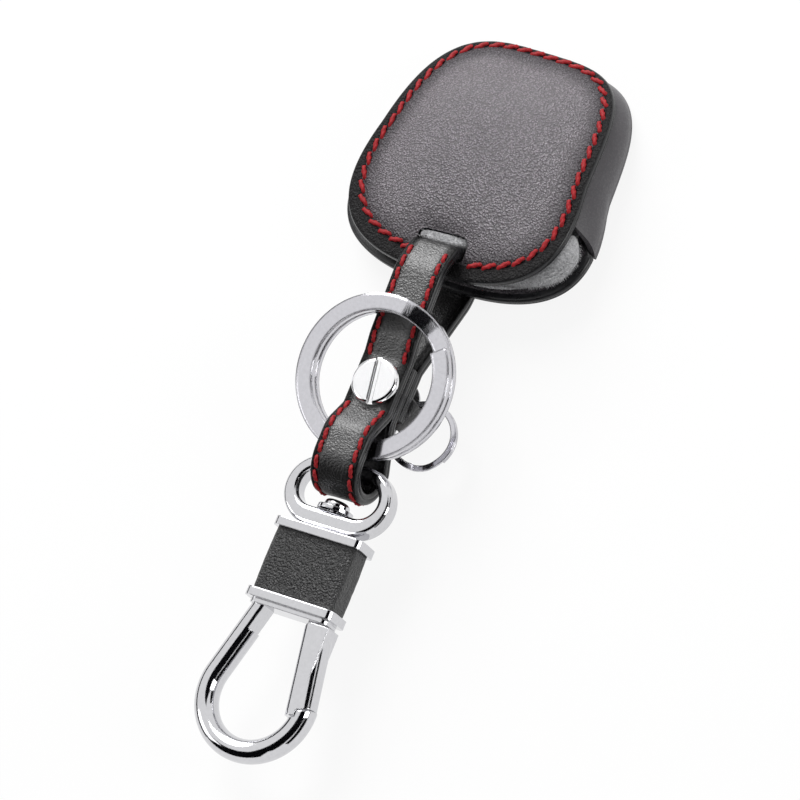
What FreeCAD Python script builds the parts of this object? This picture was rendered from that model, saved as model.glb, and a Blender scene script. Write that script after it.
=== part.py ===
"""Key fob cover: a puffed leather fob case on a folded strap, with key rings and a swivel snap hook.

Frame: the cover lies on its back. +Z is up, +Y runs from the snap hook to the closed end of the
case, +X is to the right. Y = 0 is the axis of the strap screw and Z = 0 the surface under the case.
"""
import FreeCAD
import Part
import math
import os

import Sketcher
from FreeCAD import Placement, Rotation, Vector

SIZES = [
    ("panel_half_width", 22.7, "front panel, half width at its middle"),
    ("panel_half_length", 25.0, "front panel, half length"),
    ("mouth_y", 24.2, "edge of the front panel at the mouth"),
    ("mouth_taper", 0.18, "how fast the panel widens towards the mouth"),
    ("top_taper", 0.10, "how fast it narrows towards the closed end"),
    ("mouth_power", 2.6, "roundness of the mouth corners"),
    ("top_power", 3.6, "roundness of the top corners"),
    ("panel_thickness", 1.9, "leather panel with its painted edge"),
    ("back_overhang", 1.8, "the back panel is wider than the front, each side"),
    ("back_overlength", 0.2, "and longer, each end"),
    ("back_taper", 0.30, "how fast the back panel widens towards the mouth"),
    ("back_rise", 0.8, "back margin above the strap that lies under it"),
    ("mouth_gap", 5.25, "clear height between the margins at the mouth"),
    ("top_drop", 6.4, "fall of the front panel towards the closed end"),
    ("back_drop", 2.4, "fall of the back margin towards the closed end"),
    ("drop_start", 2.5, "where the fall starts, before the middle"),
    ("drop_power", 1.7, "how late the fall comes"),
    ("case_angle", -3.3, "case as it lies on the strap, degrees"),
    ("turn_drop", 8.7, "point that it is turned about, from its middle"),
    ("front_puff", 3.4, "crown of the front panel"),
    ("margin", 3.2, "flat margin round each crown"),
    ("seam_inset", 2.1, "seam from the panel edge"),
    ("seam_shift", 1.1, "front seam set towards the closed end"),
    ("stitch_length", 2.2, "one stitch"),
    ("stitch_pitch", 2.9, "stitch to stitch"),
    ("stitch_width", 0.8, "thread"),
    ("stitch_height", 0.35, "thread above the leather"),
    ("lining_thickness", 0.8, "plush lining"),
    ("lining_inset", 4.4, "front lining from the panel edge"),
    ("lining_side", 1.8, "back lining from the front panel's edge, at the sides"),
    ("lining_end", 2.6, "back lining from the front panel's edge, at the ends"),
    ("lining_shift", -0.9, "back lining set towards the mouth"),
    ("band_thickness", 1.2, "side band"),
    ("band_bulge", 1.1, "outward swell of the side band"),
    ("band_end_drop", 10.1, "free ends of the side band, from the middle towards the mouth"),
    ("band_end_rake", 2.9, "slant of the free ends"),
    ("band_head_inset", 0.7, "side band inside the front panel's edge"),
    ("band_hem", 0.25, "side band below the back panel's margin"),
    ("seat_gap", 0.05, "between pieces sewn or glued together"),
    ("strap_width", 10.0, "strap"),
    ("strap_thickness", 2.3, "strap"),
    ("layer_gap", 0.15, "between the strap layers under the screw"),
    ("slot_inset", 4.7, "strap slot from the edge of the front panel"),
    ("slot_side", 0.4, "slot beside the strap"),
    ("slot_front", 0.7, "slot on the mouth side of the strap"),
    ("slot_back", 2.2, "slot on the far side of the strap"),
    ("slot_bend", 1.85, "strap bends at the slots, to its middle line"),
    ("stack_z", 12.2, "middle of the three layers at the screw"),
    ("loop_end_y", -21.05, "lower bend of the strap, to its middle line"),
    ("loop_z", 12.5, "middle of the lower loop"),
    ("loop_height", 11.7, "lower loop, between middle lines"),
    ("head_diameter", 9.4, "strap screw heads"),
    ("head_height", 1.3, "strap screw heads"),
    ("post_diameter", 4.4, "strap screw post"),
    ("screw_diameter", 3.0, "strap screw shank"),
    ("slot_width", 1.2, "screwdriver slot"),
    ("slot_depth", 0.7, "screwdriver slot"),
    ("screw_angle", 9.4, "screwdriver slot against the strap, degrees"),
    ("run_fit", 0.05, "radial clearance of a running fit"),
    ("hole_fit", 0.15, "radial clearance of a punched hole"),
    ("ring_diameter", 31.2, "key ring, outside"),
    ("ring_band", 3.3, "key ring, radial width"),
    ("ring_wire", 1.5, "key ring, thickness of one turn"),
    ("coil_gap", 0.45, "between the turns of a split ring"),
    ("ring_tilt", 12.0, "key ring at rest on the strap, degrees"),
    ("ring_y", 0.6, "key ring centre"),
    ("ring_z", 16.95, "key ring centre"),
    ("ring_split_angle", 88.0, "where the key ring's step ends, degrees"),
    ("small_diameter", 13.4, "small ring, outside"),
    ("small_band", 1.1, "small ring, radial width"),
    ("small_wire", 0.55, "small ring, thickness of one turn"),
    ("small_gap", 0.15, "between the turns of the small ring"),
    ("tab_thickness", 3.4, "folded tab that holds the small ring"),
    ("tab_width", 6.0, "folded tab"),
    ("tab_wall", 0.6, "leather of the folded tab"),
    ("tab_tail", 3.6, "tab behind the screw post"),
    ("tab_reach", 3.85, "screw post to the small ring's wire in the fold"),
    ("tab_fold", 3.0, "room for the small ring in the fold"),
    ("fold_shift", 0.45, "middle of the fold beyond the wire, for the ring's curve"),
    ("small_tilt", 4.0, "small ring at rest, falling away from the tab, degrees"),
    ("tab_angle", -31.7, "direction of the tab, degrees"),
    ("axis_z", 11.3, "swivel axis"),
    ("bar_y", -16.6, "bar of the swivel eye inside the strap bend"),
    ("eye_width", 22.2, "swivel eye, outside"),
    ("eye_height", 13.6, "swivel eye, outside"),
    ("eye_band", 2.8, "swivel eye, bar"),
    ("eye_depth", 4.4, "swivel eye, front to back"),
    ("boss_height", 3.6, "thick side of the eye round the rivet"),
    ("rivet_diameter", 2.6, "swivel rivet shank"),
    ("rivet_head", 5.0, "swivel rivet head"),
    ("rivet_head_height", 1.4, "swivel rivet head"),
    ("washer_diameter", 7.0, "swivel washer"),
    ("washer_height", 0.8, "swivel washer"),
    ("swivel_gap", 0.4, "between the eye and the hook block"),
    ("plate_width", 18.8, "flanges of the hook block"),
    ("plate_depth", 7.8, "flanges of the hook block"),
    ("plate_height", 1.7, "flanges of the hook block"),
    ("plate_corner", 1.6, "rounded corners of the flanges and the foot"),
    ("wrap_length", 12.4, "leather wrap of the block"),
    ("wrap_width", 17.2, "leather wrap, outside"),
    ("wrap_depth", 7.0, "leather wrap, outside"),
    ("wrap_wall", 0.9, "leather wrap"),
    ("base_width", 17.0, "foot under the lower flange"),
    ("base_depth", 5.6, "foot under the lower flange"),
    ("base_height", 0.9, "foot under the lower flange"),
    ("hook_wire", 4.5, "hook, across its bend"),
    ("hook_depth", 5.2, "hook, front to back"),
    ("hook_foot_x", -5.9, "foot of the hook's arm"),
    ("hook_radius", 10.0, "hook bend, to its middle line"),
    ("hook_drop", 17.3, "hook bend's centre below the foot"),
    ("neck_length", 5.0, "recessed neck of the hook's arm"),
    ("neck_recess", 1.2, "depth of the recess"),
    ("pin_x", 5.6, "gate pin"),
    ("pin_drop", 2.0, "gate pin below the foot"),
    ("pin_diameter", 1.6, "gate pin"),
    ("tongue_width", 3.2, "tongue that carries the gate"),
    ("tongue_depth", 2.0, "tongue that carries the gate"),
    ("gate_depth", 4.8, "gate, front to back"),
    ("gate_skin", 0.7, "gate in front of its pin"),
    ("gate_width", 5.2, "gate"),
    ("gate_reach", 15.9, "pin to the tip of the gate"),
    ("gate_shoulder", 14.7, "pin to the shoulder of the gate"),
    ("gate_lean", 10.5, "gate against the long axis, degrees"),
    ("gate_gap", 0.3, "round the gate"),
    ("spring_wire", 0.4, "gate spring"),
    ("spring_diameter", 2.1, "gate spring, outside"),
    ("spring_pitch", 0.95, "gate spring"),
    ("spring_turns", 5.0, "gate spring"),
]

doc = FreeCAD.newDocument("KeyFobCover")
sheet = doc.addObject("Spreadsheet::Sheet", "Sizes")
for row, (alias, value, note) in enumerate(SIZES, start=1):
    sheet.set("A%d" % row, alias)
    sheet.set("B%d" % row, str(value))
    sheet.set("C%d" % row, note)
    sheet.setAlias("B%d" % row, alias)
doc.recompute()


def size(alias):
    return float(sheet.get(alias))


def cell(alias):
    return "Sizes." + alias


# Heights and lengths that follow from the sizes.
PANEL = size("panel_thickness")
STRAP = size("strap_thickness")
HALF_STRAP = STRAP / 2.0
GAP = size("seat_gap")
FLAT_Z = size("stitch_height") + STRAP / 2.0
BACK_Z = FLAT_Z + STRAP / 2.0 + size("back_rise")
FRONT_Z = BACK_Z + PANEL + size("mouth_gap") + PANEL
CASE_Y = size("mouth_y") + size("panel_half_length")
BAND_END_Y = CASE_Y - size("band_end_drop")
SLOT_Y = size("mouth_y") + size("slot_inset")
LAYER = STRAP + size("layer_gap")
FRONT_LAYER_Z = size("stack_z") + LAYER
BACK_LAYER_Z = size("stack_z") - LAYER
TAB_Z = BACK_LAYER_Z - HALF_STRAP - GAP - size("tab_thickness") / 2.0
AXIS_Z = size("axis_z")
EYE_TOP_Y = size("bar_y") + size("eye_band") / 2.0
EYE_END_Y = EYE_TOP_Y - size("eye_height")
EYE_SEAT_Y = EYE_END_Y + size("boss_height")
BLOCK_Y = EYE_END_Y - size("swivel_gap")
WRAP_Y = BLOCK_Y - size("plate_height")
LOWER_Y = WRAP_Y - size("wrap_length")
FOOT_Y = LOWER_Y - size("plate_height")
BASE_Y = FOOT_Y - size("base_height")
PIN_X = size("pin_x")
PIN_Y = BASE_Y - size("pin_drop")

PARTS = []


def feature(label, shape, placement=None):
    """A sub-part whose shape is made here from the sheet's sizes."""
    item = doc.addObject("Part::Feature", label)
    item.Label = label
    item.Shape = shape
    if placement:
        item.Placement = placement
    PARTS.append(item)
    return item


def new_body(label, placement=None):
    body = doc.addObject("PartDesign::Body", label)
    body.Label = label
    if placement:
        body.Placement = placement
    PARTS.append(body)
    return body


def new_sketch(body, name, role, offset=0.0):
    sketch = body.newObject("Sketcher::SketchObject", name)
    plane = [item for item in body.Origin.OriginFeatures if item.Role == role][0]
    sketch.AttachmentSupport = [(plane, "")]
    sketch.MapMode = "FlatFace"
    sketch.AttachmentOffset = Placement(Vector(0, 0, offset), Rotation())
    return sketch


def bind(sketch, constraint, name, expression):
    index = sketch.addConstraint(constraint)
    sketch.renameConstraint(index, name)
    sketch.setExpression("Constraints." + name, expression)


def circle(sketch, name, diameter):
    """A circle about the sketch's origin, its diameter bound to an expression."""
    index = sketch.addGeometry(Part.Circle(Vector(0, 0, 0), Vector(0, 0, 1), 1.0))
    sketch.addConstraint(Sketcher.Constraint("Coincident", index, 3, -1, 1))
    bind(sketch, Sketcher.Constraint("Diameter", index, 2.0), name, diameter)


def rectangle(sketch, name, width, height):
    """A rectangle about the sketch's origin, its sides bound to expressions."""
    corners = [Vector(-1, -1), Vector(1, -1), Vector(1, 1), Vector(-1, 1)]
    first = None
    for step in range(4):
        line = Part.LineSegment(corners[step], corners[(step + 1) % 4])
        index = sketch.addGeometry(line)
        first = index if first is None else first
    for step in range(4):
        sketch.addConstraint(
            Sketcher.Constraint("Coincident", first + step, 2, first + (step + 1) % 4, 1))
    for step in (0, 2):
        sketch.addConstraint(Sketcher.Constraint("Horizontal", first + step))
        sketch.addConstraint(Sketcher.Constraint("Vertical", first + step + 1))
    sketch.addConstraint(Sketcher.Constraint("Symmetric", first, 1, first + 2, 1, -1, 1))
    bind(sketch, Sketcher.Constraint("DistanceX", first, 1, first, 2, 2.0), name + "_width", width)
    bind(sketch, Sketcher.Constraint("DistanceY", first + 1, 1, first + 1, 2, 2.0),
         name + "_height", height)


def arc_about(centre, radius, start, end):
    """Arc about a centre between two angles in degrees, counter-clockwise."""
    ring = Part.Circle(centre, Vector(0, 0, 1), radius)
    return Part.ArcOfCircle(ring, math.radians(start), math.radians(end))


def rounded_rectangle(sketch, name, width, height, corner):
    """A rectangle about the sketch's origin with rounded corners, bound to expressions."""
    far = 9.0
    high = 4.0
    radius = 1.0
    sides = [((-far + radius, -high), (far - radius, -high)), ((far, -high + radius), (far, high - radius)),
             ((far - radius, high), (-far + radius, high)), ((-far, high - radius), (-far, -high + radius))]
    centres = [(far - radius, -high + radius), (far - radius, high - radius),
               (-far + radius, high - radius), (-far + radius, -high + radius)]
    lines = []
    arcs = []
    for step in range(4):
        start, end = sides[step]
        lines.append(sketch.addGeometry(Part.LineSegment(Vector(*start), Vector(*end))))
        arcs.append(sketch.addGeometry(arc_about(Vector(*centres[step]), radius, 90 * step - 90, 90 * step)))
    for step in range(4):
        sketch.addConstraint(Sketcher.Constraint("Tangent", lines[step], 2, arcs[step], 1))
        sketch.addConstraint(Sketcher.Constraint("Tangent", arcs[step], 2, lines[(step + 1) % 4], 1))
    for step in (0, 2):
        sketch.addConstraint(Sketcher.Constraint("Horizontal", lines[step]))
        sketch.addConstraint(Sketcher.Constraint("Vertical", lines[step + 1]))
    for step in (1, 2, 3):
        sketch.addConstraint(Sketcher.Constraint("Equal", arcs[0], arcs[step]))
    sketch.addConstraint(Sketcher.Constraint("Symmetric", arcs[0], 3, arcs[2], 3, -1, 1))
    bind(sketch, Sketcher.Constraint("DistanceX", lines[3], 1, lines[1], 1, 2.0 * far), name + "_width", width)
    bind(sketch, Sketcher.Constraint("DistanceY", lines[0], 1, lines[2], 1, 2.0 * high),
         name + "_height", height)
    bind(sketch, Sketcher.Constraint("Radius", arcs[0], radius), name + "_corner", corner)


def stadium(sketch, name, width, height):
    """A slot shape about the origin: two half circles and two straight sides, along X."""
    half = 2.0
    radius = 1.0
    top = sketch.addGeometry(Part.LineSegment(Vector(half, radius), Vector(-half, radius)))
    left = sketch.addGeometry(Part.ArcOfCircle(
        Part.Circle(Vector(-half, 0, 0), Vector(0, 0, 1), radius), math.pi / 2, 1.5 * math.pi))
    low = sketch.addGeometry(Part.LineSegment(Vector(-half, -radius), Vector(half, -radius)))
    right = sketch.addGeometry(Part.ArcOfCircle(
        Part.Circle(Vector(half, 0, 0), Vector(0, 0, 1), radius), -math.pi / 2, math.pi / 2))
    for line, end, arc, start in ((top, 2, left, 1), (left, 2, low, 1), (low, 2, right, 1),
                                  (right, 2, top, 1)):
        sketch.addConstraint(Sketcher.Constraint("Tangent", line, end, arc, start))
    sketch.addConstraint(Sketcher.Constraint("Symmetric", left, 3, right, 3, -1, 1))
    sketch.addConstraint(Sketcher.Constraint("Horizontal", top))
    sketch.addConstraint(Sketcher.Constraint("Equal", left, right))
    bind(sketch, Sketcher.Constraint("Diameter", left, 2.0), name + "_height", height)
    bind(sketch, Sketcher.Constraint("DistanceX", left, 3, right, 3, 4.0),
         name + "_span", "%s - %s" % (width, height))


def chain(sketch, edges):
    """Closed outline of lines and arcs, each joined to the next."""
    ids = [sketch.addGeometry(edge) for edge in edges]
    return ids


def pad(body, sketch, length, name="Pad", midplane=False, reverse=False):
    item = body.newObject("PartDesign::Pad", name)
    item.Profile = sketch
    item.setExpression("Length", length)
    if midplane:
        item.SideType = "Symmetric"
    item.Reversed = reverse
    body.Tip = item
    return item


def pocket_through(body, sketch, name="Pocket"):
    item = body.newObject("PartDesign::Pocket", name)
    item.Profile = sketch
    item.Type = "ThroughAll"
    item.SideType = "Symmetric"
    body.Tip = item
    return item


def pocket(body, sketch, length, name="Pocket", reverse=False):
    item = body.newObject("PartDesign::Pocket", name)
    item.Profile = sketch
    item.setExpression("Length", length)
    item.Reversed = reverse
    body.Tip = item
    return item


def round_edges(body, base, radius, name="Round", keep=None):
    """Fillet the base feature's edges that keep() accepts, or all of them."""
    doc.recompute()
    edges = base.Shape.Edges
    names = ["Edge%d" % (i + 1) for i, edge in enumerate(edges) if keep is None or keep(edge)]
    item = body.newObject("PartDesign::Fillet", name)
    item.Base = (base, names)
    item.Radius = radius
    body.Tip = item
    return item


# The case outline: a rounded trapezoid by formula, wider at the mouth.

class Outline:
    """The panel outline grown by a side and an end allowance; negative ones draw it in."""

    def __init__(self, side=0.0, end=0.0, taper="mouth_taper", shift=0.0):
        self.half_width = size("panel_half_width") + side
        self.half_length = size("panel_half_length") + end
        self.mouth_taper = size(taper)
        self.middle = CASE_Y + shift

    def power(self, y):
        return size("mouth_power") if y < self.middle else size("top_power")

    def line(self, y):
        taper = self.mouth_taper if y < self.middle else size("top_taper")
        return self.half_width + taper * (self.middle - y)

    def level(self, x, y):
        """0 at the middle, 1 on the outline, more outside."""
        power = self.power(y)
        along = abs(y - self.middle) / self.half_length
        return abs(x / self.line(y)) ** power + along ** power

    def point(self, angle):
        """The outline's point at an angle about the middle, 0 to the right, 90 to the top."""
        c = math.cos(angle)
        s = math.sin(angle)
        power = size("top_power") if s >= 0 else size("mouth_power")
        y = self.middle + self.half_length * math.copysign(abs(s) ** (2.0 / power), s)
        x = self.line(y) * math.copysign(abs(c) ** (2.0 / power), c)
        return Vector(x, y, 0)

    def curve(self, count=40):
        """Closed curve through points spread evenly round the outline."""
        step = 2.0 * math.pi / count
        points = [self.point(step * (i + 0.5)) for i in range(count)]
        spline = Part.BSplineCurve()
        spline.interpolate(points, PeriodicFlag=True)
        return spline

    def prism(self):
        low = -FRONT_Z
        high = 3.0 * FRONT_Z
        edge = self.curve().toShape()
        edge.translate(Vector(0, 0, low))
        return Part.Face(Part.Wire([edge])).extrude(Vector(0, 0, high - low))


FRONT = Outline()


def back_outline(grow=0.0):
    return Outline(size("back_overhang") + grow, size("back_overlength") + grow, "back_taper")


BACK = back_outline()
FRONT_CROWN = Outline(-size("margin"), -size("margin"))
BACK_CROWN = back_outline(-size("margin"))


def crown(outline, x, y):
    """Puffed form: 1 at the middle of the panel, falling softly to 0 at its margin."""
    reach = outline.level(x, y) ** (1.0 / outline.power(y))
    return max(0.0, 1.0 - reach ** 2.6) ** 1.4


def fall(y):
    """Share of the margins' fall: 0 at the mouth, 1 at the closed end."""
    start = CASE_Y - size("drop_start")
    end = CASE_Y + size("panel_half_length")
    return max(0.0, (y - start) / (end - start)) ** size("drop_power")


def front_top(x, y):
    """Outer face of the front panel: its margin falls towards the closed end."""
    return FRONT_Z - size("top_drop") * fall(y) + size("front_puff") * crown(FRONT_CROWN, x, y)


def back_bottom(x, y):
    """Outer face of the back panel, crowned down to the surface it lies on."""
    return (BACK_Z - size("back_drop") * fall(y)) * (1.0 - crown(BACK_CROWN, x, y))


def turn_case(shape):
    """The case as it lies: turned a little on the strap, near its widest line."""
    turned = shape.copy()
    turned.rotate(Vector(0, CASE_Y - size("turn_drop"), 0), Vector(0, 0, 1), size("case_angle"))
    return turned


def skin(rows):
    surface = Part.BSplineSurface()
    surface.interpolate(rows)
    return surface


def borders(surface):
    """The four edge curves of a surface."""
    u_low, u_high, v_low, v_high = surface.bounds()
    curves = [surface.uIso(u_low), surface.uIso(u_high), surface.vIso(v_low), surface.vIso(v_high)]
    return [curve.toShape() for curve in curves]


def solid_between(first, second):
    """Solid between two grids of points with the same rows and columns."""
    skin_a = skin(first)
    skin_b = skin(second)
    faces = [skin_a.toShape(), skin_b.toShape()]
    for edge_a, edge_b in zip(borders(skin_a), borders(skin_b)):
        faces.append(Part.makeRuledSurface(edge_a, edge_b))
    shell = Part.makeShell(faces)
    shell.sewShape()
    solid = Part.makeSolid(shell)
    if solid.Volume < 0:
        solid.reverse()
    return solid


def slab(height_low, height_high, count=15):
    """Block over the whole case between two height functions."""
    half = 1.35 * size("panel_half_width")
    low = CASE_Y - size("panel_half_length") - 3.0
    high = CASE_Y + size("panel_half_length") + 3.0
    xs = [-half + 2.0 * half * i / (count - 1) for i in range(count)]
    ys = [low + (high - low) * i / (count - 1) for i in range(count)]
    grids = []
    for height in (height_low, height_high):
        grids.append([[Vector(x, y, height(x, y)) for y in ys] for x in xs])
    return solid_between(grids[0], grids[1])


def strap_slot(grow=0.0, open_end=0.0):
    """Rounded slot through a panel for the strap, grown for the linings and open to the mouth there."""
    half = size("strap_width") / 2.0 + size("slot_side") + grow
    low = SLOT_Y - HALF_STRAP - size("slot_front") - grow - open_end
    high = SLOT_Y + HALF_STRAP + size("slot_back") + grow
    box = Part.makeBox(2.0 * half, high - low, 3.0 * FRONT_Z, Vector(-half, low, -FRONT_Z))
    edges = [e for e in box.Edges if abs(e.tangentAt(e.FirstParameter).z) > 0.9]
    return box.makeFillet(0.25 * (SLOT_Y - low), edges)


def wall(side, end_y, low, high, count=25, rows=6):
    """Grid of the side wall, from one free end round the closed end to the other.

    Its foot lies a height above the back panel's outer face and its head a depth below the front
    panel's inner face."""
    head_line = Outline(side - size("band_head_inset"), side - size("band_head_inset"))
    foot_line = back_outline(side)

    def start_angle(outline, goal):
        below = math.radians(-60.0)
        above = math.radians(60.0)
        for _ in range(40):
            mid = 0.5 * (below + above)
            if outline.point(mid).y < goal:
                below = mid
            else:
                above = mid
        return below

    foot_start = start_angle(foot_line, end_y)
    head_start = start_angle(head_line, end_y + size("band_end_rake"))
    grid = []
    for i in range(count):
        share = i / (count - 1.0)
        foot = foot_line.point(foot_start + (math.pi - 2.0 * foot_start) * share)
        head = head_line.point(head_start + (math.pi - 2.0 * head_start) * share)
        foot.z = back_bottom(foot.x, foot.y)
        head.z = front_top(head.x, head.y) - PANEL
        height = head.z - foot.z
        swell = Vector(size("band_bulge") * foot.x / foot_line.half_width, 0, 0)
        column = []
        for j in range(rows):
            up = (low + (height - low - high) * j / (rows - 1.0)) / height
            column.append(foot + (head - foot) * up + swell * math.sin(math.pi * max(0.0, up)))
        grid.append(column)
    return grid


def build_panels():
    front = slab(lambda x, y: front_top(x, y) - PANEL, front_top).common(FRONT.prism())
    front = turn_case(front).cut(strap_slot())
    feature("front_panel", front)
    thick = size("band_thickness")
    end_y = BAND_END_Y - GAP
    hem = -size("band_hem")
    seat = solid_between(wall(thick, end_y, hem, 0.0), wall(-thick - 2.0 * GAP, end_y, hem, 0.0))
    back = slab(back_bottom, lambda x, y: back_bottom(x, y) + PANEL).common(BACK.prism())
    back = turn_case(back.cut(seat)).cut(strap_slot())
    feature("back_panel", back)


def build_linings():
    inset = -size("lining_inset")
    thick = size("lining_thickness")
    slot = strap_slot(thick, size("lining_inset"))
    roof = slab(lambda x, y: front_top(x, y) - PANEL - GAP - thick,
                lambda x, y: front_top(x, y) - PANEL - GAP)
    roof = roof.common(Outline(inset, inset).prism())
    feature("front_lining", turn_case(roof).cut(slot))
    floor = slab(lambda x, y: back_bottom(x, y) + PANEL + GAP,
                 lambda x, y: back_bottom(x, y) + PANEL + GAP + thick)
    trim = Outline(-size("lining_side"), -size("lining_end"), "back_taper", size("lining_shift"))
    feature("back_lining", turn_case(floor.common(trim.prism())).cut(slot))


def build_band():
    thick = size("band_thickness")
    end_y = BAND_END_Y
    hem = -size("band_hem")
    under = 3.0 * GAP
    feature("side_band", turn_case(solid_between(wall(0.0, end_y, hem, under),
                                                 wall(-thick, end_y, hem, under))))
    plush = size("lining_thickness")
    lift = 0.3
    side = -thick - 5.0 * GAP
    outer = wall(side, end_y + 1.5, PANEL + lift, lift)
    inner = wall(side - plush, end_y + 1.5, PANEL + lift, lift)
    feature("band_lining", turn_case(solid_between(outer, inner)))


def stitch(place, along, up, sink):
    """One stitch: a short thread lying along the seam, its foot in the leather."""
    length = size("stitch_length")
    width = size("stitch_width")
    height = size("stitch_height") + sink
    across = up.cross(along).normalize()
    slant = 0.16 * width
    corners = []
    for s, w in ((-1, -1), (1, -1), (1, 1), (-1, 1)):
        offset = along * (s * length / 2.0) + across * (w * width / 2.0 + s * slant)
        corners.append(place + offset - up * sink)
    foot = Part.Face(Part.makePolygon(corners + [corners[0]]))
    body = foot.extrude(up * height)
    return body


def spaced(curve, pitch):
    """Points and directions along a closed curve, as near as can be one pitch apart."""
    edge = curve.toShape()
    count = int(round(edge.Length / pitch))
    for spot in edge.discretize(Number=count + 1)[:-1]:
        parameter = edge.Curve.parameter(spot)
        yield spot, edge.tangentAt(parameter)


def clear_of_strap(thread):
    """Whether a seam thread lies clear of the strap slot."""
    spot = thread.CenterOfGravity
    beside = size("strap_width") / 2.0 + size("slot_side") + size("stitch_length") / 2.0
    return abs(spot.x) > beside or spot.y > CASE_Y


def build_panel_stitching():
    inset = -size("seam_inset")
    sink = 0.25
    threads = []
    seam = Outline(inset, inset, shift=size("seam_shift"))
    for spot, along in spaced(seam.curve(), size("stitch_pitch")):
        spot.z = front_top(spot.x, spot.y)
        step = 0.2
        ahead = front_top(spot.x + along.x * step, spot.y + along.y * step)
        along = Vector(along.x, along.y, (ahead - spot.z) / step).normalize()
        across = Vector(0, 0, 1).cross(along).normalize()
        threads.append(turn_case(stitch(spot, along, along.cross(across), sink)))
    feature("front_stitching", Part.makeCompound([t for t in threads if clear_of_strap(t)]))
    threads = []
    seam = back_outline(-size("band_thickness") - size("seam_inset") / 2.0)
    for spot, along in spaced(seam.curve(), size("stitch_pitch")):
        spot.z = back_bottom(spot.x, spot.y)
        threads.append(turn_case(stitch(spot, along, Vector(0, 0, -1), sink)))
    feature("back_stitching", Part.makeCompound([t for t in threads if clear_of_strap(t)]))


# The strap: one strip, folded through both slots, under the screw and round the swivel eye.

def strap_route():
    """Middle line of the strip in the plane X = 0: corner points with their bend radii."""
    clamp = size("head_diameter") / 2.0 + 0.75
    slot_turn = size("slot_bend")
    loop = size("loop_height") / 2.0
    bend = loop - 0.05
    loop_top = size("loop_z") + loop
    loop_low = size("loop_z") - loop
    end_y = size("loop_end_y")
    mouth = size("mouth_y")
    lip = FRONT_Z + 1.4
    return [
        (-clamp + 0.8, BACK_LAYER_Z, 0.0),
        (clamp, BACK_LAYER_Z, 3.0),
        (mouth - 1.0, FLAT_Z, 8.0),
        (SLOT_Y, FLAT_Z, slot_turn),
        (SLOT_Y, lip, slot_turn),
        (mouth - 0.3, lip + 2.6, 8.0),
        (clamp + 3.6, FRONT_LAYER_Z + 0.95, 8.0),
        (clamp, FRONT_LAYER_Z, 4.0),
        (-clamp, FRONT_LAYER_Z, 2.0),
        (-clamp - 5.0, loop_top, 4.0),
        (end_y, loop_top, bend),
        (end_y, loop_low, bend),
        (end_y + loop + 0.5, loop_low, 1.6),
        (-clamp - 0.8, size("stack_z"), 4.0),
        (clamp - 0.4, size("stack_z"), 0.0),
    ]


def strip_path(route):
    """Points on the middle line with their directions; each bend gives three of them."""
    points = [Vector(0, y, z) for y, z, radius in route]
    legs = [(b - a).normalize() for a, b in zip(points, points[1:])]
    path = [(points[0], legs[0], "start")]
    for i in range(1, len(points) - 1):
        before = legs[i - 1]
        after = legs[i]
        turn = before.getAngle(after)
        radius = route[i][2]
        reach = radius * math.tan(turn / 2.0)
        start = points[i] - before * reach
        end = points[i] + after * reach
        inward = (after - before).normalize()
        centre = points[i] + inward * (radius / math.cos(turn / 2.0))
        middle = centre - inward * radius
        path.append((start, before, "line"))
        path.append((middle, (before + after).normalize(), "middle"))
        path.append((end, after, "arc"))
    path.append((points[-1], legs[-1], "line"))
    return path


def side_edges(path, shift):
    """Edges of one face of the strip, a distance to the left of the middle line."""
    def moved(step):
        spot, heading, kind = step
        left = Vector(0, -heading.z, heading.y)
        return spot + left * shift

    edges = []
    last = moved(path[0])
    middle = None
    for step in path[1:]:
        here = moved(step)
        if step[2] == "line":
            edges.append(Part.LineSegment(last, here).toShape())
        elif step[2] == "middle":
            middle = here
            continue
        else:
            edges.append(Part.Arc(last, middle, here).toShape())
        last = here
    return edges


def build_strap():
    path = strip_path(strap_route())
    left = side_edges(path, HALF_STRAP)
    right = side_edges(path, -HALF_STRAP)
    caps = []
    for pick in (0, -1):
        a = left[pick].Vertexes[pick].Point
        b = right[pick].Vertexes[pick].Point
        caps.append(Part.LineSegment(a, b).toShape())
    outline = Part.Wire(Part.__sortEdges__(left + right + caps))
    width = size("strap_width")
    strip = Part.Face(outline).extrude(Vector(width, 0, 0))
    strip.translate(Vector(-width / 2.0, 0, 0))
    hole = Part.makeCylinder(size("post_diameter") / 2.0 + size("hole_fit"), 3.0 * FRONT_Z)
    feature("strap", strip.cut(hole))
    return path


def build_strap_stitching(path):
    """Two rows of stitches along the strip, on its outer faces."""
    middle = Part.Wire(side_edges(path, 0.0))
    count = int(middle.Length / size("stitch_pitch"))
    spots = middle.discretize(Number=count + 1)
    clear = size("head_diameter") / 2.0 + 1.6
    edge = size("strap_width") / 2.0 - 1.3
    sink = 0.25
    threads = []
    for before, spot, after in zip(spots, spots[1:], spots[2:]):
        along = (after - before).normalize()
        straight = (spot - before).getAngle(after - spot) < math.radians(24)
        in_slot = abs(spot.y - SLOT_Y) < HALF_STRAP + size("slot_front")
        if abs(spot.y) < clear or in_slot or not straight:
            continue
        left = Vector(0, -along.z, along.y)
        for x in (-edge, edge):
            for side in (left, left * -1.0):
                place = Vector(x, spot.y, spot.z) + side * HALF_STRAP
                tip = place.z + side.z * size("stitch_height")
                sunk = tip - abs(along.z) * size("stitch_length") / 2.0 < -0.001
                outward = side.z * (spot.z - size("stack_z")) > 0
                if sunk or not outward:
                    continue
                threads.append(stitch(place, along, side, sink))
    feature("strap_stitching", Part.makeCompound(threads))


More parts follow.
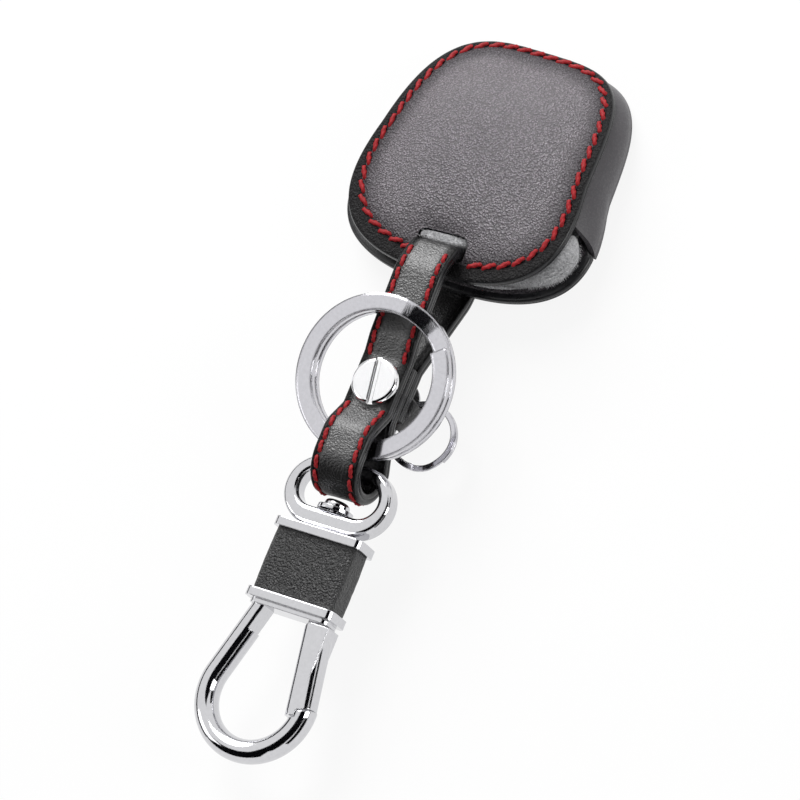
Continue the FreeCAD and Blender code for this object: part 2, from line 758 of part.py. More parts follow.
def build_screw():
    """Slotted screw from the front, and its hollow post with the back head."""
    top = FRONT_LAYER_Z + HALF_STRAP
    low = TAB_Z - size("tab_thickness") / 2.0 - GAP
    stack = "3 * %s + 2 * %s" % (cell("strap_thickness"), cell("layer_gap"))
    turn = Rotation(Vector(0, 0, 1), size("screw_angle"))
    screw = new_body("strap_screw", Placement(Vector(0, 0, top), turn))
    head = new_sketch(screw, "ScrewHead", "XY_Plane")
    circle(head, "head", cell("head_diameter"))
    pad(screw, head, cell("head_height"), "HeadPad")
    shank = new_sketch(screw, "ScrewShank", "XY_Plane")
    circle(shank, "shank", cell("screw_diameter"))
    shaft = pad(screw, shank, stack + " - 1", "ShankPad", reverse=True)
    rim = size("head_height")
    round_edges(screw, shaft, 0.7 * rim, "HeadRound",
                lambda e: abs(e.BoundBox.ZMin - rim) < 0.01 and e.BoundBox.ZLength < 0.01)
    cut = new_sketch(screw, "ScrewSlot", "XY_Plane", rim)
    rectangle(cut, "slot", cell("slot_width"), cell("head_diameter") + " + 2")
    pocket(screw, cut, cell("slot_depth"), "SlotCut")
    grip = "%s + %s + 2 * %s" % (stack, cell("tab_thickness"), cell("seat_gap"))
    post = new_body("strap_screw_post", Placement(Vector(0, 0, low), Rotation(Vector(1, 0, 0), 180)))
    head = new_sketch(post, "PostHead", "XY_Plane")
    circle(head, "head", cell("head_diameter"))
    pad(post, head, cell("head_height"), "PostHeadPad")
    tube = new_sketch(post, "PostTube", "XY_Plane")
    circle(tube, "tube", cell("post_diameter"))
    barrel = pad(post, tube, grip + " - 2 * %s" % cell("seat_gap"), "TubePad", reverse=True)
    round_edges(post, barrel, 0.7 * rim, "PostRound",
                lambda e: abs(e.BoundBox.ZMin - rim) < 0.01 and e.BoundBox.ZLength < 0.01)
    bore = new_sketch(post, "PostBore", "XY_Plane", -0.5)
    circle(bore, "bore", cell("screw_diameter") + " + 2 * " + cell("run_fit"))
    pocket(post, bore, grip, "BoreCut")
    cut = new_sketch(post, "PostSlot", "XY_Plane", rim)
    rectangle(cut, "slot", cell("slot_width"), cell("head_diameter") + " + 2")
    pocket(post, cut, cell("slot_depth"), "PostSlotCut")


# Split rings: two flat turns and the step that joins them.

def ring_section(radius, band, wire, angle, height):
    """Rectangular section of the ring's wire at an angle round the ring, as a closed wire."""
    out = Vector(math.cos(angle), math.sin(angle), 0)
    corners = []
    for across, up in ((-1, -1), (1, -1), (1, 1), (-1, 1)):
        corners.append(out * (radius + across * band / 2.0) + Vector(0, 0, height + up * wire / 2.0))
    return Part.makePolygon(corners + [corners[0]])


def flat_turn(radius, band, wire, height, angle):
    outer = Part.makeCylinder(radius + band / 2.0, wire, Vector(0, 0, height - wire / 2.0),
                              Vector(0, 0, 1), angle)
    inner = Part.makeCylinder(radius - band / 2.0, wire, Vector(0, 0, height - wire / 2.0))
    return outer.cut(inner)


def split_ring(label, diameter, band, wire, gap):
    """Two turns about Z, the upper one's free end just before the step, which ends on X."""
    radius = (diameter - band) / 2.0
    rise = wire + gap
    step_start = 316.0
    free_end = 306.0
    lower = flat_turn(radius, band, wire, -rise / 2.0, step_start)
    upper = flat_turn(radius, band, wire, rise / 2.0, free_end)
    sections = []
    steps = 6
    for i in range(steps + 1):
        share = i / float(steps)
        angle = math.radians(step_start + (360.0 - step_start) * share)
        height = -math.cos(math.pi * share) * rise / 2.0
        sections.append(ring_section(radius, band, wire, angle, height))
    climb = Part.makeLoft(sections, True, True)
    least = upper.distToShape(lower)[0]
    print("%s: least gap between the turns %.2f mm" % (label, least))
    return lower.multiFuse([climb, upper]).removeSplitter()


def build_rings():
    ring = split_ring("key_ring", size("ring_diameter"), size("ring_band"), size("ring_wire"),
                      size("coil_gap"))
    split = Rotation(Vector(0, 0, 1), size("ring_split_angle"))
    tilt = Rotation(Vector(1, 0, 0), size("ring_tilt")).multiply(split)
    feature("key_ring", ring, Placement(Vector(0, size("ring_y"), size("ring_z")), tilt))
    small = split_ring("small_ring", size("small_diameter"), size("small_band"), size("small_wire"),
                       size("small_gap"))
    radius = (size("small_diameter") - size("small_band")) / 2.0
    bearing = Rotation(Vector(0, 0, 1), size("tab_angle"))
    tilt = Rotation(Vector(0, 1, 0), size("small_tilt"))
    wire = Vector(size("tab_reach"), 0, 0)
    place = Placement(Vector(0, 0, TAB_Z) + bearing.multVec(wire + tilt.multVec(Vector(radius, 0, 0))),
                      bearing.multiply(tilt))
    feature("small_ring", small, place)


def build_tab():
    """Leather tab folded round the small ring and clamped on the screw post, pointing along local X."""
    turn = Rotation(Vector(0, 0, 1), size("tab_angle"))
    tab = new_body("ring_tab", Placement(Vector(0, 0, TAB_Z), turn))
    profile = new_sketch(tab, "TabProfile", "XZ_Plane")
    half = size("tab_thickness") / 2.0
    tail = -size("tab_tail")
    fold_x = size("tab_reach") + size("fold_shift")
    nose = fold_x + size("tab_fold") / 2.0 + size("tab_wall") - half
    chain(profile, [
        Part.LineSegment(Vector(tail, -half), Vector(nose, -half)),
        arc_about(Vector(nose, 0), half, -90, 90),
        Part.LineSegment(Vector(nose, half), Vector(tail, half)),
        Part.LineSegment(Vector(tail, half), Vector(tail, -half))])
    pad(tab, profile, cell("tab_width"), "TabPad", midplane=True)
    fold = new_sketch(tab, "TabFold", "XZ_Plane")
    fold.AttachmentOffset = Placement(Vector(fold_x, 0, 0), Rotation())
    fold.setExpression("AttachmentOffset.Base.x", "%s + %s" % (cell("tab_reach"), cell("fold_shift")))
    stadium(fold, "fold", cell("tab_fold"), "(%s - 2 * %s)" % (cell("tab_thickness"), cell("tab_wall")))
    pocket_through(tab, fold, "TabFoldCut")
    hole = new_sketch(tab, "TabHole", "XY_Plane")
    circle(hole, "hole", cell("post_diameter") + " + 2 * " + cell("hole_fit"))
    pocket_through(tab, hole, "TabHoleCut")


# The swivel: an oval eye in the strap bend, turning on a rivet in the hook block.

def build_eye():
    middle = EYE_TOP_Y - size("eye_height") / 2.0
    eye = new_body("swivel_eye", Placement(Vector(0, middle, AXIS_Z), Rotation()))
    outside = new_sketch(eye, "EyeOutside", "XY_Plane")
    stadium(outside, "outer", cell("eye_width"), cell("eye_height"))
    pad(eye, outside, cell("eye_depth"), "EyePad", midplane=True)
    inside = new_sketch(eye, "EyeInside", "XY_Plane")
    inner_width = "(%s - 2 * %s)" % (cell("eye_width"), cell("eye_band"))
    inner_height = "(%s - %s - %s)" % (cell("eye_height"), cell("eye_band"), cell("boss_height"))
    stadium(inside, "inner", inner_width, inner_height)
    lift = (size("boss_height") - size("eye_band")) / 2.0
    inside.AttachmentOffset = Placement(Vector(0, lift, 0), Rotation())
    inside.setExpression("AttachmentOffset.Base.y",
                         "(%s - %s) / 2" % (cell("boss_height"), cell("eye_band")))
    window = pocket_through(eye, inside, "EyeWindow")
    round_edges(eye, window, 1.0, "EyeRound", lambda e: e.BoundBox.ZLength < 0.01)
    bore = new_sketch(eye, "EyeBore", "XZ_Plane", size("eye_height") / 2.0 - size("boss_height") - 0.5)
    circle(bore, "bore", cell("rivet_diameter") + " + 2 * " + cell("run_fit"))
    pocket(eye, bore, cell("eye_height"), "EyeBoreCut", reverse=True)


def build_rivet():
    """Rivet and washer, turned about the swivel axis, local +Z pointing to the case."""
    turn = Rotation(Vector(1, 0, 0), -90)
    washer = new_body("swivel_washer", Placement(Vector(0, EYE_SEAT_Y + 2.0 * GAP, AXIS_Z), turn))
    ring = new_sketch(washer, "WasherRing", "XY_Plane")
    circle(ring, "outer", cell("washer_diameter"))
    circle(ring, "inner", cell("rivet_diameter") + " + 2 * " + cell("run_fit"))
    pad(washer, ring, cell("washer_height"), "WasherPad")
    seat = EYE_SEAT_Y + 3.0 * GAP + size("washer_height")
    rivet = new_body("swivel_rivet", Placement(Vector(0, seat, AXIS_Z), turn))
    head = new_sketch(rivet, "RivetHead", "XY_Plane")
    circle(head, "head", cell("rivet_head"))
    pad(rivet, head, cell("rivet_head_height"), "RivetHeadPad")
    shank = new_sketch(rivet, "RivetShank", "XY_Plane")
    circle(shank, "shank", cell("rivet_diameter"))
    length = " + ".join([cell("boss_height"), cell("washer_height"), cell("swivel_gap"),
                         cell("plate_height"), "2 * " + cell("seat_gap")])
    shaft = pad(rivet, shank, length, "ShankPad", reverse=True)
    rim = size("rivet_head_height")
    round_edges(rivet, shaft, 0.6 * rim, "RivetRound",
                lambda e: abs(e.BoundBox.ZMin - rim) < 0.01 and e.BoundBox.ZLength < 0.01)


def block_pad(body, name, top_y, width, depth, height, corner):
    """Flat block under a given Y, centred on the swivel axis; the body's origin lies on it."""
    sketch = new_sketch(body, name, "XZ_Plane", -top_y)
    rounded_rectangle(sketch, name, width, depth, corner)
    return pad(body, sketch, height, name + "Pad")


def hook_points():
    """Foot, tangent point and bend centre of the hook's middle line."""
    foot = Vector(size("hook_foot_x"), BASE_Y + 0.6, 0)
    centre = Vector(-0.2, BASE_Y - size("hook_drop") + 0.8, 0)
    reach = foot - centre
    bearing = math.degrees(math.atan2(reach.y, reach.x))
    swing = math.degrees(math.acos(size("hook_radius") / reach.Length))
    return foot, centre, bearing + swing


def oval(sketch, middle, width):
    """The hook's section, flat towards the front: an ellipse deeper than it is wide."""
    high = Vector(middle, size("hook_depth") / 2.0)
    side = Vector(middle + width / 2.0, 0)
    sketch.addGeometry(Part.Ellipse(high, side, Vector(middle, 0)))


def face_near(item, spot):
    """Name of the flat face of a feature whose middle is nearest to a point."""
    flat = [(face.CenterOfMass.distanceToPoint(spot), "Face%d" % (i + 1))
            for i, face in enumerate(item.Shape.Faces) if face.Surface.TypeId == "Part::GeomPlane"]
    return min(flat)[1]


def build_hook():
    body = new_body("hook_body", Placement(Vector(0, 0, AXIS_Z), Rotation()))
    corner = cell("plate_corner")
    block_pad(body, "UpperFlange", BLOCK_Y, cell("plate_width"), cell("plate_depth"),
              cell("plate_height"), corner)
    core_width = "%s - 2 * %s - 2 * %s" % (cell("wrap_width"), cell("wrap_wall"), cell("seat_gap"))
    core_depth = "%s - 2 * %s - 2 * %s" % (cell("wrap_depth"), cell("wrap_wall"), cell("seat_gap"))
    block_pad(body, "Core", WRAP_Y, core_width, core_depth, cell("wrap_length"), cell("seat_gap"))
    block_pad(body, "LowerFlange", LOWER_Y, cell("plate_width"), cell("plate_depth"),
              cell("plate_height"), corner)
    block_pad(body, "Foot", FOOT_Y, cell("base_width"), cell("base_depth"), cell("base_height"), corner)
    tongue = new_sketch(body, "Tongue", "XY_Plane")
    half = size("tongue_width") / 2.0
    top = BASE_Y + 0.3
    left = Vector(PIN_X - half, top)
    right = Vector(PIN_X + half, top)
    chain(tongue, [
        Part.LineSegment(right, left),
        Part.LineSegment(left, Vector(PIN_X - half, PIN_Y)),
        arc_about(Vector(PIN_X, PIN_Y), half, 180, 360),
        Part.LineSegment(Vector(PIN_X + half, PIN_Y), right)])
    pad(body, tongue, cell("tongue_depth"), "TonguePad", midplane=True)
    start, centre, angle = hook_points()
    radius = size("hook_radius")
    bend = new_sketch(body, "BendSection", "XZ_Plane")
    bend.AttachmentOffset = Placement(Vector(centre.x, 0, -centre.y), Rotation())
    oval(bend, radius, size("hook_wire"))
    turn = body.newObject("PartDesign::Revolution", "HookBend")
    turn.Profile = bend
    turn.ReferenceAxis = (bend, ["V_Axis"])
    turn.Angle = 360.0 - angle
    turn.Reversed = True
    body.Tip = turn
    doc.recompute()
    tangent = centre + Vector(math.cos(math.radians(angle)), math.sin(math.radians(angle)), 0) * radius
    arm = body.newObject("PartDesign::Pad", "ArmPad")
    arm.Profile = (turn, [face_near(turn, tangent)])
    arm.Length = (start - tangent).Length
    body.Tip = arm
    doc.recompute()
    nose = body.newObject("PartDesign::Pad", "NosePad")
    nose.Profile = (arm, [face_near(arm, centre + Vector(radius, 0, 0))])
    nose.Length = 1.6
    body.Tip = nose
    doc.recompute()
    clear = size("gate_gap")
    step_x = PIN_X + 3.75
    step = new_sketch(body, "NoseStep", "XY_Plane")
    pin = Vector(PIN_X, PIN_Y)
    tip = size("gate_reach") + clear
    shoulder = size("gate_shoulder") + clear
    tip_angle = -math.degrees(math.acos((step_x - PIN_X) / tip))
    shoulder_angle = -math.degrees(math.acos((step_x - PIN_X) / shoulder))
    far = Vector(14.0, 0)
    far_angle = -math.degrees(math.acos((far.x - PIN_X) / shoulder))
    near_angle = -100.0

    def on(ring, bearing):
        return pin + Vector(math.cos(math.radians(bearing)), math.sin(math.radians(bearing))) * ring

    roof_y = PIN_Y - 9.0
    a = on(tip, near_angle)
    b = on(tip, tip_angle)
    c = on(shoulder, shoulder_angle)
    d = on(shoulder, far_angle)
    chain(step, [
        arc_about(pin, tip, near_angle, tip_angle),
        Part.LineSegment(b, c),
        arc_about(pin, shoulder, shoulder_angle, far_angle),
        Part.LineSegment(d, Vector(d.x, roof_y)),
        Part.LineSegment(Vector(d.x, roof_y), Vector(a.x, roof_y)),
        Part.LineSegment(Vector(a.x, roof_y), a)])
    trim = pocket(body, step, "2 * " + cell("hook_depth"), "NoseCut")
    trim.SideType = "Symmetric"
    neck = new_sketch(body, "NeckRecess", "XY_Plane")
    run = (tangent - start).normalize()
    inward = Vector(-run.y, run.x, 0)
    first = start + run * 0.9 + inward * (size("hook_wire") / 2.0 - size("neck_recess"))
    first = first + run * ((BASE_Y - first.y) / run.y)
    last = first + run * size("neck_length")
    wide = inward * size("hook_wire")
    rim = [first, last, last + wide, Vector(first.x + size("hook_wire"), first.y)]
    chain(neck, [Part.LineSegment(rim[i], rim[(i + 1) % 4]) for i in range(4)])
    notch = pocket(body, neck, "2 * " + cell("hook_depth"), "NeckCut")
    notch.SideType = "Symmetric"
    hole = new_sketch(body, "PinHole", "XY_Plane")
    hole.addGeometry(Part.Circle(pin, Vector(0, 0, 1),
                                 size("pin_diameter") / 2.0 + size("run_fit")))
    pocket_through(body, hole, "PinHoleCut")
    bore = new_sketch(body, "RivetSeat", "XZ_Plane", -BLOCK_Y)
    circle(bore, "seat", cell("rivet_diameter") + " + 2 * " + cell("run_fit"))
    pocket(body, bore, cell("plate_height") + " + 0.3", "RivetSeatCut", reverse=True)


def build_wrap():
    middle = WRAP_Y - size("wrap_length") / 2.0
    wrap = new_body("hook_wrap", Placement(Vector(0, middle, AXIS_Z), Rotation()))
    outside = new_sketch(wrap, "WrapOutside", "XZ_Plane")
    rectangle(outside, "outer", cell("wrap_width"), cell("wrap_depth"))
    sleeve = pad(wrap, outside, cell("wrap_length") + " - 2 * " + cell("seat_gap"), "WrapPad",
                 midplane=True)
    round_edges(wrap, sleeve, 1.1, "WrapCorners", lambda e: e.BoundBox.YLength > 5.0)
    inside = new_sketch(wrap, "WrapInside", "XZ_Plane")
    rectangle(inside, "inner", "%s - 2 * %s" % (cell("wrap_width"), cell("wrap_wall")),
              "%s - 2 * %s" % (cell("wrap_depth"), cell("wrap_wall")))
    pocket_through(wrap, inside, "WrapCore")


def gate_outline():
    """Gate seen from the front, about the pin: a finger with a stepped tip."""
    pin = Vector(0, 0)
    lean = math.radians(size("gate_lean"))
    top = size("pin_drop") - size("gate_gap")
    inner = -top
    outer = inner + size("gate_width")
    step_x = 3.75 - size("gate_gap")
    reach = size("gate_reach")
    shoulder = size("gate_shoulder")

    def on(ring, x):
        return Vector(x, -math.sqrt(ring * ring - x * x))

    outer_x = outer + math.tan(lean) * (shoulder - 1.0)
    inner_x = inner + math.tan(lean) * (reach - 0.5)
    d = on(shoulder, outer_x)
    c = on(shoulder, step_x)
    b = on(reach, step_x)
    a = on(reach, inner_x)

    def bearing(spot):
        return math.degrees(math.atan2(spot.y, spot.x))

    return [
        arc_about(pin, top, 90, 180),
        Part.LineSegment(Vector(inner, 0), a),
        arc_about(pin, reach, bearing(a), bearing(b)),
        Part.LineSegment(b, c),
        arc_about(pin, shoulder, bearing(c), bearing(d)),
        Part.LineSegment(d, Vector(outer, 0)),
        Part.LineSegment(Vector(outer, 0), Vector(outer, top)),
        Part.LineSegment(Vector(outer, top), Vector(0, top))]


def build_gate():
    """Gate hollowed for the tongue and bored for its spring, with the pin through both."""
    gate = new_body("gate", Placement(Vector(PIN_X, PIN_Y, AXIS_Z), Rotation()))
    outline = new_sketch(gate, "GateOutline", "XY_Plane")
    chain(outline, gate_outline())
    finger = pad(gate, outline, cell("gate_depth"), "GatePad", midplane=True)
    round_edges(gate, finger, 1.7, "GateRound",
                lambda e: e.BoundBox.ZLength < 0.01 and e.BoundBox.YLength > 8.0)
    cut = new_sketch(gate, "TongueSlot", "YZ_Plane")
    top = size("pin_drop")
    room = size("tongue_width") / 2.0 + size("gate_gap")
    side = size("tongue_depth") / 2.0 + size("gate_gap")
    corners = [Vector(-room, -side), Vector(top, -side), Vector(top, side), Vector(-room, side)]
    chain(cut, [Part.LineSegment(corners[i], corners[(i + 1) % 4]) for i in range(4)])
    cut.AttachmentOffset = Placement(Vector(0, 0, room), Rotation())
    pocket(gate, cut, "2 * " + cell("gate_width"), "TongueSlotCut")
    skin_front = size("gate_depth") / 2.0 - size("gate_skin")
    hole = new_sketch(gate, "GatePinHole", "XY_Plane", skin_front)
    circle(hole, "hole", cell("pin_diameter") + " + 2 * " + cell("run_fit"))
    pocket(gate, hole, cell("gate_depth"), "GatePinHoleCut")
    lean = size("gate_lean")
    bore = new_sketch(gate, "SpringBore", "XZ_Plane", 0.0)
    axis_x = (size("gate_width") / 2.0 - top + size("gate_gap")) * 1.0
    bore.AttachmentOffset = Placement(Vector(axis_x, 0, 0), Rotation(Vector(0, 1, 0), lean))
    circle(bore, "bore", cell("spring_diameter") + " + 0.2")
    length = "%s / 2 + %s + %s * %s + 0.8" % (cell("tongue_width"), cell("gate_gap"),
                                              cell("spring_turns"), cell("spring_pitch"))
    pocket(gate, bore, length, "SpringBoreCut", reverse=True)
    pin = new_body("gate_pin", Placement(Vector(PIN_X, PIN_Y, AXIS_Z), Rotation()))
    rod = new_sketch(pin, "PinRod", "XY_Plane", skin_front - GAP)
    circle(rod, "rod", cell("pin_diameter"))
    pad(pin, rod, "%s - %s - 4 * %s" % (cell("gate_depth"), cell("gate_skin"), cell("seat_gap")), "PinPad",
        reverse=True)
    return axis_x, lean


def build_spring(axis_x, lean):
    wire = size("spring_wire")
    mean = (size("spring_diameter") - wire) / 2.0
    pitch = size("spring_pitch")
    turns = size("spring_turns")
    helix = Part.makeHelix(pitch, pitch * turns, mean)
    section = Part.Wire([Part.Circle(Vector(mean, 0, 0), Vector(0, 1, 0), wire / 2.0).toShape()])
    coil = Part.Wire(helix).makePipeShell([section], True, True)
    print("gate_spring: least gap between turns %.2f mm" % (pitch - wire))
    turn = Rotation(Vector(0, 0, 1), lean).multiply(Rotation(Vector(1, 0, 0), 90))
    start = size("tongue_width") / 2.0 + size("gate_gap") + 0.5
    along = Rotation(Vector(0, 0, 1), lean).multVec(Vector(0, -1, 0))
    base = Vector(PIN_X + axis_x, PIN_Y, AXIS_Z) + along * start
    feature("gate_spring", coil, Placement(base, turn))


build_panels()
build_linings()
build_band()
build_panel_stitching()
strap_path = build_strap()
build_strap_stitching(strap_path)
build_screw()
build_rings()
build_tab()
build_eye()
build_rivet()
build_hook()
build_wrap()
spring_x, spring_lean = build_gate()
build_spring(spring_x, spring_lean)
doc.recompute()

for item in doc.Objects:
    if "Invalid" in item.State or "Error" in item.State:
        raise RuntimeError("%s did not build: %s" % (item.Label, item.State))
os.makedirs("parts", exist_ok=True)
for item in PARTS:
    shape = item.Shape
    if shape.isNull() or not shape.isValid():
        raise RuntimeError("%s has no valid shape" % item.Label)
    box = shape.optimalBoundingBox(False)
    print("%-18s %2d solids %9.2f mm3  x %.2f %.2f  y %.2f %.2f  z %.2f %.2f" % (
        item.Label, len(shape.Solids), shape.Volume, box.XMin, box.XMax, box.YMin, box.YMax,
        box.ZMin, box.ZMax))
    shape.exportStep("parts/%s.step" % item.Label)
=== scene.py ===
"""Key fob cover: leather case, strap, key rings and swivel snap hook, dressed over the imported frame."""
import math
import random

import bmesh
import bpy
from mathutils import Matrix, Vector, noise


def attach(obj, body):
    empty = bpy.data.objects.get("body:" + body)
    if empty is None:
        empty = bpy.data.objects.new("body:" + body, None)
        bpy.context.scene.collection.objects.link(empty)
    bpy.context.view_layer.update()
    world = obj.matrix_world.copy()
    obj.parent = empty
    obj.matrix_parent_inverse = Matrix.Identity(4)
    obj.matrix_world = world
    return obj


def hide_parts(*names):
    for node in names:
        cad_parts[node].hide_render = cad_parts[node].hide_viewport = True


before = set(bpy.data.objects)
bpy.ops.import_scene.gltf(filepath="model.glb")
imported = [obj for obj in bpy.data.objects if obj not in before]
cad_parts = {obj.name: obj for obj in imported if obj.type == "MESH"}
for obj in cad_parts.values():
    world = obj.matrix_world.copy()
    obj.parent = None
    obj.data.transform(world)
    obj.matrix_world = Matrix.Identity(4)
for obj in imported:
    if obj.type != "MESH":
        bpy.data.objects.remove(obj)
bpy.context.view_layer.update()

MM = 0.001
random.seed(7)

# Case sizes in millimetres, as in the part's sheet.
# STRAP_PITCH is the scene's own: the solids have PITCH on the strap too.
HALF_WIDTH = 22.7
HALF_LENGTH = 25.0
MOUTH_Y = 24.2
MOUTH_TAPER = 0.18
TOP_TAPER = 0.10
MOUTH_POWER = 2.6
TOP_POWER = 3.6
PANEL = 1.9
BACK_SIDE = 1.8
BACK_END = 0.2
BACK_TAPER = 0.30
FRONT_Z = 12.5
BACK_Z = 3.45
TOP_DROP = 6.4
BACK_DROP = 2.4
DROP_START = 2.5
DROP_POWER = 1.7
FRONT_PUFF = 3.4
MARGIN = 3.2
SEAM = 2.1
SEAM_SHIFT = 1.1
BACK_SEAM = 2.25
PITCH = 2.9
STRAP_PITCH = 2.5
SLOT_Y = 28.9
SLOT_LOW = 27.05
SLOT_HIGH = 32.25
SLOT_HALF = 5.4
LINING = 0.8
LINING_INSET = 4.4
LINING_GAP = 0.05
BACK_LINING_SIDE = 1.8
BACK_LINING_END = 2.6
BACK_LINING_SHIFT = -0.9
BAND_WALL = 1.2
BAND_BULGE = 1.1
BAND_HEM = 0.25
BAND_RAKE = 2.9
CASE_Y = MOUTH_Y + HALF_LENGTH
BAND_END_Y = CASE_Y - 10.1
CASE_ANGLE = -3.3
TURN_Y = CASE_Y - 8.7

# Strap, screw and block sizes in millimetres.
STRAP_WIDTH = 10.0
STRAP = 2.3
HALF_STRAP = STRAP / 2.0
STRAP_SEAM = 3.7
HEAD = 9.4
POST_HOLE = 2.35
AXIS_Z = 11.3
WRAP_TOP_Y = -30.95
WRAP_END_Y = -43.25
WRAP_WIDTH = 17.2
WRAP_DEPTH = 7.0
WRAP_WALL = 0.9


class Outline:
    """The panel outline grown by a side and an end allowance; negative ones draw it in."""

    def __init__(self, side=0.0, end=0.0, taper=MOUTH_TAPER, shift=0.0):
        self.half_width = HALF_WIDTH + side
        self.half_length = HALF_LENGTH + end
        self.mouth_taper = taper
        self.middle = CASE_Y + shift

    def line(self, y):
        taper = self.mouth_taper if y < self.middle else TOP_TAPER
        return self.half_width + taper * (self.middle - y)

    def reach(self, x, y):
        """0 at the middle, 1 on the outline, more outside."""
        power = MOUTH_POWER if y < self.middle else TOP_POWER
        along = abs(y - self.middle) / self.half_length
        return (abs(x / self.line(y)) ** power + along ** power) ** (1.0 / power)

    def depth(self, x, y):
        """How far a point lies inside the outline, negative outside it."""
        reach = max(0.05, self.reach(x, y))
        return (1.0 / reach - 1.0) * math.hypot(x, y - self.middle)

    def point(self, angle):
        c = math.cos(angle)
        s = math.sin(angle)
        power = TOP_POWER if s >= 0 else MOUTH_POWER
        y = self.middle + self.half_length * math.copysign(abs(s) ** (2.0 / power), s)
        x = self.line(y) * math.copysign(abs(c) ** (2.0 / power), c)
        return Vector((x, y, 0.0))


def front_outline(grow=0.0):
    return Outline(grow, grow)


def back_outline(grow=0.0):
    return Outline(BACK_SIDE + grow, BACK_END + grow, BACK_TAPER)


def front_lining_outline(grow=0.0):
    return Outline(grow - LINING_INSET, grow - LINING_INSET)


def back_lining_outline(grow=0.0):
    return Outline(grow - BACK_LINING_SIDE, grow - BACK_LINING_END, BACK_TAPER, BACK_LINING_SHIFT)


FRONT_SEAM = Outline(-SEAM, -SEAM, shift=SEAM_SHIFT)
BACK_SEAM_LINE = back_outline(-BACK_SEAM)
FRONT_CROWN = front_outline(-MARGIN)
BACK_CROWN = back_outline(-MARGIN)


def crown(outline, x, y):
    return max(0.0, 1.0 - outline.reach(x, y) ** 2.6) ** 1.4


def fall(y):
    start = CASE_Y - DROP_START
    return max(0.0, (y - start) / (CASE_Y + HALF_LENGTH - start)) ** DROP_POWER


def front_top(x, y):
    return FRONT_Z - TOP_DROP * fall(y) + FRONT_PUFF * crown(FRONT_CROWN, x, y)


def back_bottom(x, y):
    return (BACK_Z - BACK_DROP * fall(y)) * (1.0 - crown(BACK_CROWN, x, y))


def smooth(share):
    share = min(1.0, max(0.0, share))
    return share * share * (3.0 - 2.0 * share)


def turned(p, angle=CASE_ANGLE):
    """A point of the case where it lies, turned a little on the strap."""
    pivot = Vector((0.0, TURN_Y, 0.0))
    return Matrix.Rotation(math.radians(angle), 3, "Z") @ (p - pivot) + pivot


def turn_case(piece):
    pivot = Vector((0.0, TURN_Y * MM, 0.0))
    spin = Matrix.Rotation(math.radians(CASE_ANGLE), 4, "Z")
    piece.data.transform(Matrix.Translation(pivot) @ spin @ Matrix.Translation(-pivot))
    return piece


def even_angles(outline, count):
    """Angles whose points lie at equal steps round the outline, and the outline's length."""
    fine = 4000
    angles = [2.0 * math.pi * i / fine for i in range(fine + 1)]
    lengths = [0.0]
    last = outline.point(angles[0])
    for angle in angles[1:]:
        here = outline.point(angle)
        lengths.append(lengths[-1] + (here - last).length)
        last = here
    total = lengths[-1]
    picked = []
    k = 0
    for i in range(count):
        goal = total * i / count
        while lengths[k + 1] < goal:
            k += 1
        share = (goal - lengths[k]) / max(1e-9, lengths[k + 1] - lengths[k])
        picked.append(angles[k] + share * (angles[k + 1] - angles[k]))
    return picked, total


# Mesh helpers.

def make_object(name, points, faces):
    mesh = bpy.data.meshes.new(name)
    mesh.from_pydata([tuple(c * MM for c in p) for p in points], [], faces)
    shape = bmesh.new()
    shape.from_mesh(mesh)
    bmesh.ops.recalc_face_normals(shape, faces=shape.faces)
    shape.to_mesh(mesh)
    shape.free()
    mesh.update()
    piece = bpy.data.objects.new(name, mesh)
    bpy.context.scene.collection.objects.link(piece)
    return piece


def dress(piece, material, body, nodes=(), angle=40.0):
    """Material, shading, the body it rides on and the nodes it stands for."""
    if material:
        piece.data.materials.clear()
        piece.data.materials.append(material)
    piece.data.shade_smooth()
    piece.data.set_sharp_from_angle(angle=math.radians(angle))
    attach(piece, body)
    if nodes:
        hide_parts(*nodes)
    return piece


def bake_modifiers(piece):
    """Replaces the piece's mesh by the result of its modifiers."""
    graph = bpy.context.evaluated_depsgraph_get()
    mesh = bpy.data.meshes.new_from_object(piece.evaluated_get(graph))
    piece.modifiers.clear()
    old = piece.data
    piece.data = mesh
    bpy.data.meshes.remove(old)


def cut_out(piece, cutter):
    cut = piece.modifiers.new("cut", "BOOLEAN")
    cut.operation = "DIFFERENCE"
    cut.solver = "EXACT"
    cut.object = cutter
    bake_modifiers(piece)
    bpy.data.objects.remove(cutter)


def painted_shade(piece, share):
    """Notes at every point how much painted shade darkens the leather, for its shader to read."""
    layer = piece.data.attributes.new("painted_shade", "FLOAT", "POINT")
    for vertex, item in zip(piece.data.vertices, layer.data):
        item.value = share(vertex.co / MM)


def ringed(name, rings):
    """Closed form from rings of points, capped by a middle point at both ends."""
    count = len(rings[0])
    points = [p for ring in rings for p in ring]
    faces = []
    for r in range(len(rings) - 1):
        for i in range(count):
            j = (i + 1) % count
            faces.append((r * count + i, r * count + j, (r + 1) * count + j, (r + 1) * count + i))
    for r in (0, len(rings) - 1):
        middle = sum(rings[r], Vector()) / count
        points.append(middle)
        hub = len(points) - 1
        for i in range(count):
            faces.append((r * count + i, r * count + (i + 1) % count, hub))
    return make_object(name, points, faces)


def looped(name, rings):
    """Sleeve from rings of points, its last ring joined to its first."""
    count = len(rings[0])
    points = [p for ring in rings for p in ring]
    faces = []
    for r in range(len(rings)):
        nxt = (r + 1) % len(rings)
        for i in range(count):
            j = (i + 1) % count
            faces.append((r * count + i, r * count + j, nxt * count + j, nxt * count + i))
    return make_object(name, points, faces)


def prism(name, outline, low, high):
    """Upright block over a closed outline of (x, y) points."""
    rings = [[Vector((x, y, z)) for x, y in outline] for z in (low, high)]
    return ringed(name, rings)


